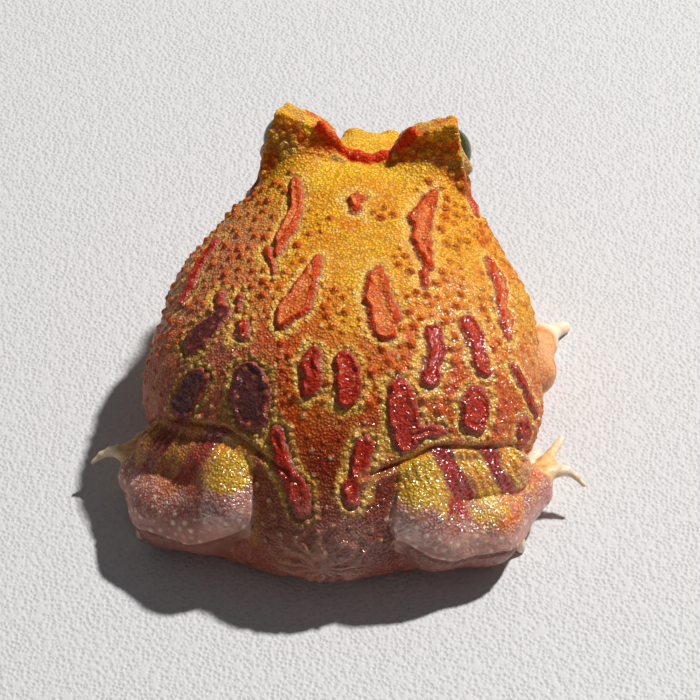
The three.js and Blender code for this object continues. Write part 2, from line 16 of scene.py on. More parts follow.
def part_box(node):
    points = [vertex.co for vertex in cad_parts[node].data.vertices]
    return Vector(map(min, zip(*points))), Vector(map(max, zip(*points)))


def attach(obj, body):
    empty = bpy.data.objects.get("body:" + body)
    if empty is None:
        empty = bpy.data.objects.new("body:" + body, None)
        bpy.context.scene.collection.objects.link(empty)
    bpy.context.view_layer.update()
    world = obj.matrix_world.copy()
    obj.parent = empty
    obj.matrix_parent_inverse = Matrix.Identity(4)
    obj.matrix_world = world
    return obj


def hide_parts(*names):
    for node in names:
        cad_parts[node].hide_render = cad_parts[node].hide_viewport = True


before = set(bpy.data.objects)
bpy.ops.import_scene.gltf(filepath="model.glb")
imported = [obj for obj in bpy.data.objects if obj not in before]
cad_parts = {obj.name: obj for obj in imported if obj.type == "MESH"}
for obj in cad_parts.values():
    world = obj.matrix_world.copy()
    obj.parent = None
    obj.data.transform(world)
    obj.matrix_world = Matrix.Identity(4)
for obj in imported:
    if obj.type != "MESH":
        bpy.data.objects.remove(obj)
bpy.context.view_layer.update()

MM = 0.001
SEED = 7
STEP = 0.28  # mesh step of the skin
GRID_LOW, GRID_HIGH = (-51, -38, -1.5), (51, 68, 55)
FLOOR_GAP = 0.02
AXIS_HEIGHT = 15
FAR = 99.0

# Eyes
EYE = np.array([15.2, 47.6, 39.4])
EYE_RADIUS = 5.2
EYE_AXIS = np.array([0.863, 0.421, 0.281])
BROW_RADIUS = 6.3
BROW_BEHIND = 2.0
SOCKET_GAP, SOCKET_EDGE = 0.05, 0.4
SOCKET_REACH = 8

eye_box = np.array(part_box("eye_right"))
MIDDLE = np.append(EYE[:2] - eye_box.mean(axis=0)[:2] / MM, 0.0)  # from the frog's axes to the frame's


def place(points):
    """Turns points in the frog's millimetres into the frame's metres."""
    return (np.asarray(points, float) - MIDDLE) * MM


def unit(vector):
    return np.asarray(vector, float) / np.linalg.norm(vector)


def mirrored(point, side):
    """The point on the right side, or its mirror image where side is -1."""
    return np.array([side * point[0], point[1], point[2]], float)


# Flesh: smooth unions of ellipsoid balls and tapered cones
TORSO = [
    ("ball", (0, 2.5, 15.5), (38, 25.5, 21)),
    ("ball", (0, 9, 20.5), (33, 27, 20.5)),
    ("ball", (0, 22, 19.5), (34.5, 21, 20)),
    ("ball", (0, -16, 11), (19, 18.5, 14.5)),
]
TORSO_BLEND = 9.0
HEAD = [
    ("ball", (0, 34, 25.5), (25, 19, 16.2)),
    ("ball", (0, 40, 18.5), (25, 22.5, 12.5)),
    ("ball", (0, 49.5, 25.2), (12.5, 12.5, 9.6)),
] + [
    ("cone", (side * 11.8, 40, 34), mirrored(EYE - BROW_BEHIND * EYE_AXIS, side), 7.0, BROW_RADIUS)
    for side in (-1, 1)
]
HEAD_BLEND = 5.0
NECK_BLEND = 8.0

# The upper lid: a tent behind four planes, each a point and its outward direction, inside a ball
LID_HORN = (17.6, 44.6, 50.2)
LID_INNER = (8.9, 44.6, 47.2)
LID_PLANES = [
    (LID_HORN, (-0.13, -0.89, 0.40)),
    (LID_HORN, (0.96, 0.25, 0.10)),
    (LID_HORN, (-0.37, 0.48, 0.79)),
    (LID_INNER, (-0.85, 0.15, 0.51)),
]
LID_BALL = ((13.4, 44.0, 42.5), 9.6)
LID_EDGE = 0.6
LID_TO_HEAD = 1.6
LID_REACH = 13
# The rim of skin round the eye
RIM = dict(ring=4.7, out=2.3, upper=0.75, lower=1.35)
RIM_TO_HEAD = 0.7
# The toothed crest: places between the inner corners of the lids, and the beads along it
CREST_PLACES = [(44.5, -9), (43.2, 2), (45, 12)]
CREST_BEADS, CREST_RADIUS, CREST_UNEVEN, CREST_TALL = 46, 1.2, 0.35, 1.25
CREST_END = 0.55  # the share of its radius left at its two ends
CREST_BLEND, CREST_MARGIN = 0.5, 2.0
MOUTH = dict(z=18.6, corner=35.0)
NOSTRIL = np.array([3.7, 59.8, 29.4])
NOSTRIL_BUMP = (2.3, 1.9, 1.9)
NOSTRIL_PIT = dict(offset=(0.9, 1.6, -0.2), radii=(0.6, 1.2, 0.8))
NOSTRIL_TO_SNOUT, PIT_EDGE = 1.2, 0.3
NOSTRIL_REACH, PIT_REACH = 5, 3
VENT = np.array([0.0, -34.3, 12.6])

LEGS = {
    1: dict(hip=(8, -21.5, 6.5), thigh_end=(27, -16, 5.5), knee=(30, -9.5, 13.5),
            ankle=(16, -17, 18.6), heel=(16.4, -22.3, 15.8), sole=(20.5, -22.6, 10.8),
            instep=(29, -18.8, 8.4), ball=(37.5, -9.5, 8)),
    -1: dict(hip=(-8, -23, 6.5), thigh_end=(-27, -18.5, 5.5), knee=(-30.5, -12, 12.5),
             ankle=(-18, -19, 17.6), heel=(-18.2, -23.6, 15.4), sole=(-22.5, -23.4, 10.8),
             instep=(-29.6, -21.0, 8.4), ball=(-36.8, -14.2, 8)),
}
LEG_RADII = dict(hip=8.4, thigh_end=7, knee=7, ankle=7.6, heel=7.2, sole=7.2, instep=7.2, ball=4)
LEG_BLEND = 3.0
LEG_TO_BODY = 0.7
HEEL_BLEND = 2.2
# The toes, first to fifth, on the right side and counted from the ball of the foot
TOES = [
    ([(-7.5, 0.5, -4), (-5, 6.5, -5), (-3.5, 11.5, -7.2)], (1.8, 1.4, 1.0)),
    ([(-4.5, 1.5, -3), (-1.5, 8.5, -4), (0, 15, -7.2)], (2.0, 1.5, 1.0)),
    ([(-2, 0.5, -0.6), (2, 8, -1), (4.9, 16.3, -3.4)], (2.2, 1.2, 0.6)),
    ([(-1.5, -0.5, 0), (4.5, 4.7, 1), (9.7, 3.7, -1.6)], (2.5, 1.2, 0.4)),
    ([(-4.5, -6.5, -2), (-2.3, -7.6, -5), (-1.2, -8.4, -7.3)], (2.4, 1.5, 0.8)),
]
TOE_TUCK = {1: 0.0, -1: 7.0}  # how far the third toe's tip lies further in
WEB_THICKNESS = 0.9
WEB_REACH = 0.6
WEB_BLEND, WEB_TO_TOES = 1.5, 0.8
TOE_TO_FOOT = 1.4
TOE_KNUCKLE, FINGER_KNUCKLE = 0.06, 0.08
DIGIT_BLEND, DIGIT_MARGIN = 0.5, 3.0

ARMS = {
    1: dict(shoulder=(27, 26, 14), elbow=(35.3, 21.5, 7), forearm=(35.3, 22.3, 5.2),
            wrist=(36.0, 30.5, 4.2), palm=(36, 33, 2.8), fingers=(48, 122, 148, 175)),
    -1: dict(shoulder=(-27, 26, 14), elbow=(-34.8, 19.5, 9), forearm=(-34.6, 21, 6.2),
             wrist=(-30.5, 32, 4.6), palm=(-28.6, 35.6, 2.8), fingers=(122, 88, 58, 22)),
}
ARM_RADII = dict(shoulder=7.5, elbow=4.7, forearm=4.6, wrist=3.6)
PALM_RADII = (4.3, 4.3, 3)
FINGER_REACH = (7.9, 9.2, 8.8, 7.8)
FINGER_RADII = (2.1, 1.5, 1.1)
FINGER_HEIGHTS = (2.6, 2.1, 0.9)
ARM_TO_BODY = 2.0
FINGER_TO_HAND = 1.2

# The crease where the flank's skin folds over the leg, on the right side
FLANK_FOLD = np.array([(7, -24, 25.7), (13.6, -20, 26), (19.6, -16.1, 26.9), (27.4, -13.2, 23.9),
                       (33.2, -9.7, 20.8), (35.8, -10.5, 17.3)])
VIEW_UP = (0.0, 0.766, 0.643)  # across that crease, from the leg to the flank
# The height of the sole's lower edge at some distances from the frog's middle
SOLE_EDGE = dict(out=(14, 18, 25, 33, 38, 42), height=(15, 13.4, 10.2, 9.6, 6.5, 3.0))

# Markings and fine forms
PART_BORDER = 0.25  # how softly one part's colours turn into the next one's
SHANK_BARS = [(2.0, 2.0), (11.5, 1.5)]  # middle and half width along the shank from the ankle
BAR_SLANT = 0.75
HEEL_PATCHES = [(17.2, -21.4, 24.0), (-18.0, -23.4, 23.2)]  # the middles of the yellow patches
HEEL_PATCH_RADIUS = 4.1
WRINKLE_STRETCH = (0.3, 1.0, 0.3)  # makes noise long round the body and narrow along it
# Small bumps: their spacing, radius, how much that varies, and the seeds of their places and sizes
BUMPS = dict(
    wart=(1.9, 0.95, 0.45, 1, 2), halo=(1.5, 0.55, 0.3, 3, 5), bead=(2.7, 0.66, 0.3, 4, 6),
    speck=(2.0, 0.6, 0.5, 9, 10), knob=(1.25, 0.75, 0.4, 11, 12), dot=(1.6, 0.62, 0.3, 7, 8),
)

# Raised bars and blotches: the places along the middle line, the half widths there, the height, and how
# dark each one is from 0 to 1
BLOTCHES = [
    ([(30.2, -2.4), (30.4, 2.0)], (0.9, 0.9), 0.9, 0.0),
    ([(30, 0), (27, 0.5)], (1.5, 0.7), 0.9, 0.0),
    ([(35, -26), (31.7, -24), (27, -24), (22.8, -25), (19.8, -27), (16.6, -28)],
     (0.9, 1.3, 1.4, 1.5, 1.3, 0.6), 1.0, 0.0),
    ([(17.4, -32), (11, -28)], (0.9, 0.4), 0.7, 0.1),
    ([(35, 28), (32, 27), (27, 25), (23, 26), (19.8, 28), (16.7, 30)],
     (0.7, 1.4, 2.0, 2.0, 1.6, 0.9), 1.1, 0.0),
    ([(14.6, 30), (11.5, 31)], (1.1, 0.9), 0.9, 0.0),
    ([(14.8, -12), (10.5, -13), (6.4, -16), (2.8, -19), (0, -22)], (0.5, 1.4, 2.4, 2.8, 1.6), 0.9, 0.0),
    ([(13.8, 12), (10.4, 13), (6, 14), (1.7, 17), (-1.2, 19)], (0.6, 1.6, 2.6, 2.9, 1.7), 1.0, 0.0),
    ([(24.7, 54), (20, 57), (14.4, 59), (8.4, 62)], (1.1, 1.5, 1.5, 1.2), 0.8, 0.1),
    ([(0.5, 37), (-3.2, 39.5), (-7, 40)], (2.1, 1.5, 2.1), 0.8, 0.45),
    ([(6.2, 48), (2.6, 52), (-1.6, 57)], (1.7, 2.0, 1.4), 0.8, 0.35),
    ([(-7.3, 59.5), (-8.9, 61), (-10.5, 63)], (2.6, 3.0, 2.5), 0.8, 0.35),
    ([(-10.5, 31), (-13.7, 37), (-17.2, 45)], (2.0, 2.6, 2.3), 0.7, 0.5),
    ([(-15.8, 45), (-14.4, 55)], (1.6, 1.2), 0.7, 0.45),
    ([(-7.6, 5), (-10.6, 6.5), (-13.1, 7)], (1.9, 2.6, 2.0), 0.8, 0.5),
    ([(-6.2, -10), (-9, -11), (-12.5, -12)], (1.1, 1.7, 1.3), 0.7, 0.6),
    ([(2.4, 66), (0.4, 73), (-0.9, 81)], (0.9, 1.0, 0.8), 0.6, 0.3),
    ([(-5.1, 79), (-6.6, 83)], (1.5, 1.3), 0.6, 0.4),
    ([(-19.1, 26), (-22.7, 28), (-27, 33)], (1.7, 1.9, 1.3), 0.6, 0.55),
    ([(-18.7, -33), (-22.7, -35), (-26.3, -31), (-29.2, -30)], (1.4, 1.6, 1.6, 1.1), 0.6, 0.6),
    ([(-10.4, -39), (-12.9, -41), (-15.2, -43)], (3.2, 3.7, 3.0), 0.6, 0.9),
    ([(3.4, -47), (0.5, -54), (-1.5, -58)], (1.6, 2.6, 2.0), 0.4, 0.95),
    ([(-8.2, -59), (-9.6, -64), (-10.9, -69)], (2.4, 3.0, 2.6), 0.5, 0.9),
    ([(0.6, -39), (-1.8, -39)], (1.0, 1.0), 0.7, 0.5),
    ([(8.3, -48), (5.5, -48)], (1.1, 0.9), 0.7, 0.5),
    ([(6.3, -41), (4.5, -41)], (0.9, 0.8), 0.7, 0.4),
    ([(24, -56), (17, -60), (10, -63)], (1.2, 1.5, 1.1), 0.7, 0.4),
] + [
    stripe for side in (-1, 1) for stripe in (
        ([(47, side * 33), (43, side * 44), (37, side * 50)], (0.9, 1.1, 0.8), 0.6, 0.1),
        ([(50, side * 56), (44, side * 66), (36, side * 70)], (0.9, 1.3, 1.0), 0.5, 0.1),
    )
]


def ball_distance(x, y, z, centre, radii):
    px, py, pz = x - centre[0], y - centre[1], z - centre[2]
    near = np.sqrt((px / radii[0]) ** 2 + (py / radii[1]) ** 2 + (pz / radii[2]) ** 2)
    far = np.sqrt((px / radii[0] ** 2) ** 2 + (py / radii[1] ** 2) ** 2 + (pz / radii[2] ** 2) ** 2)
    return near * (near - 1) / np.maximum(far, 1e-6)


def cone_distance(x, y, z, start, end, start_radius, end_radius):
    b = np.subtract(end, start)
    px, py, pz = x - start[0], y - start[1], z - start[2]
    t = np.clip((px * b[0] + py * b[1] + pz * b[2]) / float(b @ b), 0, 1)
    gap = np.sqrt((px - b[0] * t) ** 2 + (py - b[1] * t) ** 2 + (pz - b[2] * t) ** 2)
    return gap - (start_radius + (end_radius - start_radius) * t)


def lump_distance(x, y, z, lump):
    kind, *shape = lump
    return ball_distance(x, y, z, *shape) if kind == "ball" else cone_distance(x, y, z, *shape)


def blend(a, b, k):
    h = np.clip(0.5 + 0.5 * (b - a) / k, 0, 1)
    return b + (a - b) * h - k * h * (1 - h)


def carve(a, b, k):
    """The body a without the body b, with a rounded rim."""
    return -blend(-a, b, k)


def flesh(x, y, z, lumps, k):
    total = lump_distance(x, y, z, lumps[0])
    for lump in lumps[1:]:
        total = blend(total, lump_distance(x, y, z, lump), k)
    return total


def body_distance(x, y, z):
    """Torso and head without lids and limbs."""
    return blend(flesh(x, y, z, TORSO, TORSO_BLEND), flesh(x, y, z, HEAD, HEAD_BLEND), NECK_BLEND)


def lid_distance(x, y, z):
    """The upper lid on the right side."""
    centre, radius = LID_BALL
    total = ball_distance(x, y, z, centre, (radius,) * 3)
    for point, normal in LID_PLANES:
        plane = sum(n * (c - p) for n, c, p in zip(normal, (x, y, z), point))
        total = carve(total, -plane, LID_EDGE)
    return total


def rim_distance(x, y, z):
    """The roll of skin round the right eye, thicker below it."""
    px, py, pz = x - EYE[0], y - EYE[1], z - EYE[2]
    axis = unit(EYE_AXIS)
    height = px * axis[0] + py * axis[1] + pz * axis[2]
    out = np.sqrt(np.maximum(px**2 + py**2 + pz**2 - height**2, 1e-9))
    below = np.clip(0.5 - (pz - height * axis[2]) / out, 0, 1)
    radius = RIM["upper"] + (RIM["lower"] - RIM["upper"]) * below
    return np.sqrt((out - RIM["ring"]) ** 2 + (height - RIM["out"]) ** 2) - radius


def on_body(places):
    """The points of the body's surface at some places."""
    along, around = np.array(places, float).T
    turn = np.radians(around)
    inside, outside = np.zeros(len(along)), np.full(len(along), 60.0)
    for _ in range(24):
        t = (inside + outside) / 2
        within = body_distance(np.sin(turn) * t, along, AXIS_HEIGHT + np.cos(turn) * t) < 0
        inside, outside = np.where(within, t, inside), np.where(within, outside, t)
    return np.stack([np.sin(turn) * inside, along, AXIS_HEIGHT + np.cos(turn) * inside], axis=1)


def curve_through(points, count):
    """Points along the smooth curve through three points."""
    a, b, c = (np.array(p, float) for p in points)
    t = np.linspace(0, 1, count)[:, None]
    return a * (1 - t) * (1 - 2 * t) + b * 4 * t * (1 - t) + c * t * (2 * t - 1)


def chain(points, radii, knuckles=0.0):
    """Cones along a smooth curve, a little thicker at the joints of a digit."""
    count = 7
    spine = curve_through(points, count)
    share = np.linspace(0, 1, count)
    r = np.interp(share, np.linspace(0, 1, len(radii)), radii)
    r *= 1 + knuckles * np.cos(share * 4 * math.pi)
    return [("cone", spine[i], spine[i + 1], r[i], r[i + 1]) for i in range(count - 1)]


class Grid:
    """A block of space in cubic cells that holds a distance at each corner."""

    def __init__(self, low, high, step):
        self.low, self.step = np.array(low, float), step
        self.n = np.ceil((np.array(high) - self.low) / step).astype(int) + 1
        self.axes = [self.low[m] + step * np.arange(self.n[m]) for m in range(3)]
        self.values = np.full(self.n, FAR, np.float32)

    def part(self, low, high):
        """The slices between two corners, and the coordinates in them."""
        a = np.clip(np.floor((np.array(low) - self.low) / self.step).astype(int), 0, self.n)
        b = np.clip(np.ceil((np.array(high) - self.low) / self.step).astype(int) + 1, 0, self.n)
        slices = tuple(slice(i, j) for i, j in zip(a, b))
        x, y, z = (self.axes[m][slices[m]].astype(np.float32) for m in range(3))
        return slices, x[:, None, None], y[None, :, None], z[None, None, :]

    def merge(self, distance, low, high, k):
        """Blends the body that a distance function gives into what is there, between two corners."""
        slices, x, y, z = self.part(low, high)
        self.values[slices] = blend(self.values[slices], distance(x, y, z), k)

    def cut(self, distance, middle, reach, k):
        """Takes away the body that a distance function gives, in a cube round a point."""
        slices, x, y, z = self.part(middle - reach, middle + reach)
        self.values[slices] = carve(self.values[slices], distance(x, y, z), k)

    def join(self, lumps, k_inside, k_outside, margin=7.0):
        """Adds the smooth union of some lumps, blended into what is there."""
        low, high = lump_box(lumps)
        union = lambda x, y, z: flesh(x, y, z, lumps, k_inside)
        self.merge(union, low - margin, high + margin, k_outside)


def lump_box(lumps):
    lows, highs = [], []
    for kind, a, b, *radii in lumps:
        spheres = [(a, b)] if kind == "ball" else [(a, radii[0]), (b, radii[1])]
        for centre, r in spheres:
            lows.append(np.subtract(centre, r))
            highs.append(np.add(centre, r))
    return np.min(lows, axis=0), np.max(highs, axis=0)


def toes_of(side):
    """The five toes of one foot: their points and radii."""
    flip = np.array([side, 1, 1])
    made = []
    for i, (points, radii) in enumerate(TOES):
        placed = [np.array(LEGS[side]["ball"]) + flip * np.array(p) for p in points]
        if i == 2:
            placed[-1][0] -= side * TOE_TUCK[side]
        made.append((placed, radii))
    return made


def web_lumps(toe_a, toe_b):
    """Thin rods side by side that fill the web between two toes."""
    rods = 9
    a, b = (curve_through(toe[0], rods)[: int(rods * WEB_REACH) + 1] for toe in (toe_a, toe_b))
    half = WEB_THICKNESS / 2
    return [("cone", p, q, half, half) for p, q in zip(a, b)]


def fingers_of(side):
    arm = ARMS[side]
    made = []
    for degrees, reach in zip(arm["fingers"], FINGER_REACH):
        turn = math.radians(degrees)
        ahead = np.array([math.cos(turn), math.sin(turn)])
        points = [
            (*(np.array(arm["palm"][:2]) + ahead * reach * share), height)
            for share, height in zip((0.1, 0.6, 1), FINGER_HEIGHTS)
        ]
        made.append((points, FINGER_RADII))
    return made


def limb(joints, radii, start, end):
    return ("cone", joints[start], joints[end], radii[start], radii[end])


def leg_lumps(side):
    piece = lambda start, end: limb(LEGS[side], LEG_RADII, start, end)
    return dict(
        thigh=[piece("hip", "thigh_end")],
        shank=[piece("knee", "ankle")],
        foot=[piece("heel", "sole"), piece("sole", "instep"), piece("instep", "ball")],
        toe=[lump for points, radii in toes_of(side) for lump in chain(points, radii)],
    )


def arm_lumps(side):
    piece = lambda start, end: limb(ARMS[side], ARM_RADII, start, end)
    digits = [lump for points, radii in fingers_of(side) for lump in chain(points, radii)]
    return dict(
        arm=[piece("shoulder", "elbow"), piece("forearm", "wrist")],
        hand=[("ball", ARMS[side]["palm"], PALM_RADII)] + digits,
    )


def fill_body(grid):
    slices, x, y, z = grid.part(grid.low, [axis[-1] for axis in grid.axes])
    grid.values[slices] = body_distance(x, y, z)


def add_legs(grid):
    for side in LEGS:
        lumps = leg_lumps(side)
        grid.join(lumps["thigh"], LEG_BLEND, LEG_TO_BODY)
        grid.join(lumps["shank"], LEG_BLEND, LEG_TO_BODY)
        grid.join(lumps["foot"], LEG_BLEND, HEEL_BLEND)
        toes = toes_of(side)
        for points, radii in toes:
            grid.join(chain(points, radii, TOE_KNUCKLE), DIGIT_BLEND, TOE_TO_FOOT, DIGIT_MARGIN)
        for toe_a, toe_b in zip(toes, toes[1:4]):
            grid.join(web_lumps(toe_a, toe_b), WEB_BLEND, WEB_TO_TOES, DIGIT_MARGIN)


def add_arms(grid):
    for side in ARMS:
        lumps = arm_lumps(side)
        for lump in lumps["arm"] + lumps["hand"][:1]:
            grid.join([lump], LEG_BLEND, ARM_TO_BODY)
        for points, radii in fingers_of(side):
            grid.join(chain(points, radii, FINGER_KNUCKLE), DIGIT_BLEND, FINGER_TO_HAND, DIGIT_MARGIN)


def add_lids(grid):
    for side in (-1, 1):
        middle = mirrored(LID_BALL[0], side)
        low, high = middle - LID_REACH, middle + LID_REACH
        grid.merge(lambda x, y, z: lid_distance(side * x, y, z), low, high, LID_TO_HEAD)
        grid.merge(lambda x, y, z: rim_distance(side * x, y, z), low, high, RIM_TO_HEAD)


def crest_path():
    """The toothed ridge between the lids, as closely set points and radii."""
    middle = on_body(CREST_PLACES)
    corners = [mirrored(LID_INNER, side) for side in (-1, 1)]
    ends = [(corners[0] + middle[0]) / 2, (corners[1] + middle[-1]) / 2]
    points = np.array([corners[0], ends[0], *middle, ends[1], corners[1]])
    share = np.linspace(0, 1, len(points))
    fine = np.linspace(0, 1, CREST_BEADS)
    spread_out = np.stack([np.interp(fine, share, points[:, m]) for m in range(3)], axis=1)
    radii = CREST_RADIUS * (CREST_END + (1 - CREST_END) * np.sin(math.pi * fine))
    radii *= 1 + CREST_UNEVEN * np.random.default_rng(SEED).uniform(-1, 1, len(fine))
    return spread_out, radii


def add_crest(grid):
    points, radii = crest_path()
    beads = [("ball", p, (r, r, r * CREST_TALL)) for p, r in zip(points, radii)]
    grid.join(beads, CREST_BLEND, CREST_BLEND, CREST_MARGIN)


def carve_eyes(grid):
    for side in (-1, 1):
        centre = mirrored(EYE, side)
        radii = (EYE_RADIUS + SOCKET_GAP,) * 3
        grid.cut(lambda x, y, z: ball_distance(x, y, z, centre, radii), centre, SOCKET_REACH, SOCKET_EDGE)


def carve_nostrils(grid):
    for side in (-1, 1):
        centre = mirrored(NOSTRIL, side)
        pit_centre = centre + mirrored(NOSTRIL_PIT["offset"], side)
        bump = lambda x, y, z: ball_distance(x, y, z, centre, NOSTRIL_BUMP)
        pit = lambda x, y, z: ball_distance(x, y, z, pit_centre, NOSTRIL_PIT["radii"])
        grid.merge(bump, centre - NOSTRIL_REACH, centre + NOSTRIL_REACH, NOSTRIL_TO_SNOUT)
        grid.cut(pit, centre, PIT_REACH, PIT_EDGE)


def cut_floor(grid):
    z = grid.axes[2].astype(np.float32)[None, None, :]
    grid.values = np.maximum(grid.values, FLOOR_GAP - z)


# The closed skin of a field: one point in each cell that the surface crosses
CORNERS = np.array([(a, b, c) for c in (0, 1) for b in (0, 1) for a in (0, 1)])
EDGES = [(0, 1), (2, 3), (4, 5), (6, 7), (0, 2), (1, 3), (4, 6), (5, 7), (0, 4), (1, 5), (2, 6), (3, 7)]


def net_of(grid):
    """The skin's points and four-sided faces."""
    v, n = grid.values, grid.n
    inside = v < 0
    cells = tuple(n - 1)
    some, every = np.zeros(cells, bool), np.ones(cells, bool)
    for a, b, c in CORNERS:
        corner = inside[a:a + cells[0], b:b + cells[1], c:c + cells[2]]
        some |= corner
        every &= corner
    active = np.argwhere(some & ~every)
    index = np.full(cells, -1, np.int32)
    index[tuple(active.T)] = np.arange(len(active))

    corner_values = np.stack([v[tuple((active + c).T)] for c in CORNERS])
    total, crossings = np.zeros((len(active), 3)), np.zeros(len(active))
    for a, b in EDGES:
        va, vb = corner_values[a], corner_values[b]
        crossed = (va < 0) != (vb < 0)
        t = np.where(crossed, va / np.where(crossed, va - vb, 1), 0)
        total += crossed[:, None] * (CORNERS[a] + t[:, None] * (CORNERS[b] - CORNERS[a]))
        crossings += crossed
    points = grid.low + grid.step * (active + total / crossings[:, None])

    faces = []
    for axis in range(3):
        u, w = (axis + 1) % 3, (axis + 2) % 3
        ahead = np.roll(inside, -1, axis)
        edge = np.argwhere(inside != ahead)
        edge = edge[(edge[:, axis] < n[axis] - 1) & (edge[:, u] > 0) & (edge[:, w] > 0)]
        edge = edge[(edge[:, u] < n[u] - 1) & (edge[:, w] < n[w] - 1)]
        step_u, step_w = np.eye(3, dtype=int)[u], np.eye(3, dtype=int)[w]
        ring = [edge, edge - step_u, edge - step_u - step_w, edge - step_w]
        quad = np.stack([index[tuple(cell.T)] for cell in ring], axis=1)
        quad = np.where(inside[tuple(edge.T)][:, None], quad, quad[:, ::-1])
        faces.append(quad)
    return points, np.concatenate(faces)


def sampled(grid, points):
    """The field between the corners, by linear interpolation."""
    q = (points - grid.low) / grid.step
    base = np.clip(np.floor(q).astype(int), 0, grid.n - 2)
    f = q - base
    out = 0
    for corner in CORNERS:
        weight = np.prod(np.where(corner, f, 1 - f), axis=1)
        out = out + weight * grid.values[tuple((base + corner).T)]
    return out


def slope(grid, points):
    e = grid.step
    g = np.stack([sampled(grid, points + e * d) - sampled(grid, points - e * d) for d in np.eye(3)], axis=1)
    return g / (np.linalg.norm(g, axis=1, keepdims=True) + 1e-9)


def settle(grid, points, rounds=2):
    for _ in range(rounds):
        move = sampled(grid, points)[:, None] * slope(grid, points)
        points = points - np.clip(move, -0.4 * grid.step, 0.4 * grid.step)
    return points


def added(name, data):
    """A new object in the scene."""
    obj = bpy.data.objects.new(name, data)
    bpy.context.scene.collection.objects.link(obj)
    return obj


def mesh_object(name, points, faces):
    mesh = bpy.data.meshes.new(name)
    sides = faces.shape[1]
    mesh.vertices.add(len(points))
    mesh.vertices.foreach_set("co", np.ascontiguousarray(points, np.float32).ravel())
    mesh.loops.add(faces.size)
    mesh.loops.foreach_set("vertex_index", np.ascontiguousarray(faces, np.int32).ravel())
    mesh.polygons.add(len(faces))
    mesh.polygons.foreach_set("loop_start", np.arange(0, faces.size, sides, dtype=np.int32))
    mesh.polygons.foreach_set("use_smooth", np.ones(len(faces), bool))
    mesh.update(calc_edges=True)
    mesh.validate()
    return added(name, mesh)


def smooth(start, end, value):
    """0 before start, 1 past end, and an even rise between."""
    t = np.clip((value - start) / (end - start), 0, 1)
    return t * t * (3 - 2 * t)


def bell(value, width):
    return np.exp(-((value / width) ** 2))


def noise(points, size, seed=0):
    """Smooth noise from -1 to 1 with features of about one size."""
    q = points / size + 31.7 * (seed + 1)
    base = np.floor(q)
    f = q - base
    f = f * f * (3 - 2 * f)
    base = base.astype(np.int64)
    total = np.zeros(len(points))
    for corner in CORNERS:
        cell = base + corner
        code = cell[:, 0] * 73856093 ^ cell[:, 1] * 19349663 ^ cell[:, 2] * 83492791
        code = ((code ^ (code >> 13)) * 1274126177) & 0xFFFFFF
        total += np.prod(np.where(corner, f, 1 - f), axis=1) * (code / 0x7FFFFF - 1)
    return total


def warped(points, size, reach, seed):
    """The points, each moved a little by smooth noise, for ragged outlines."""
    return points + reach * np.stack([noise(points, size, seed + m) for m in range(3)], axis=1)


def line_distance(points, line, halves):
    """The distance to a bent line, less the half width of the line there."""
    best = np.full(len(points), FAR)
    reach = 12
    near = np.all((points > line.min(axis=0) - reach) & (points < line.max(axis=0) + reach), axis=1)
    q = points[near]
    total = best[near]
    for i in range(len(line) - 1):
        b = line[i + 1] - line[i]
        t = np.clip((q - line[i]) @ b / (b @ b), 0, 1)
        gap = np.linalg.norm(q - line[i] - t[:, None] * b, axis=1)
        total = np.minimum(total, gap - (halves[i] + (halves[i + 1] - halves[i]) * t))
    best[near] = total
    return best


def tree_of(points):
    tree = KDTree(len(points))
    for i, p in enumerate(points):
        tree.insert(p, i)
    tree.balance()
    return tree


def spread(points, spacing, allowed, seed):
    """Some of the allowed points, at least a spacing apart."""
    order = np.random.default_rng(seed).permutation(np.flatnonzero(allowed))
    cells = np.floor(points[order] / (0.6 * spacing)).astype(int)
    _, first = np.unique(cells, axis=0, return_index=True)
    candidates = points[order[np.sort(first)]]
    tree = tree_of(candidates)
    left_out = np.zeros(len(candidates), bool)
    kept = []
    for i, p in enumerate(candidates):
        if left_out[i]:
            continue
        kept.append(i)
        for _, j, _ in tree.find_range(p, spacing):
            left_out[j] = True
    return candidates[kept]


def bumps(points, centres, radius, seed, uneven):
    """For each point its share of the way in to the nearest bump's middle, and that bump's own number."""
    tree = tree_of(centres)
    own = np.random.default_rng(seed).uniform(0, 1, len(centres))
    share, number = np.zeros(len(points)), np.zeros(len(points))
    low, high = centres.min(axis=0) - 2 * radius, centres.max(axis=0) + 2 * radius
    for i in np.flatnonzero(np.all((points > low) & (points < high), axis=1)):
        _, j, gap = tree.find(points[i])
        reach = radius * (1 + uneven * (2 * own[j] - 1))
        if gap < reach:
            share[i], number[i] = 1 - gap / reach, own[j]
    return share, number


def shares_of(gaps):
    """How much of each part of the body there is at each point, from the distances to the parts."""
    weights = {name: np.exp(-np.clip(gap, 0, FAR) / PART_BORDER) for name, gap in gaps.items()}
    total = sum(weights.values()) + 1e-12
    return {name: weight / total for name, weight in weights.items()}


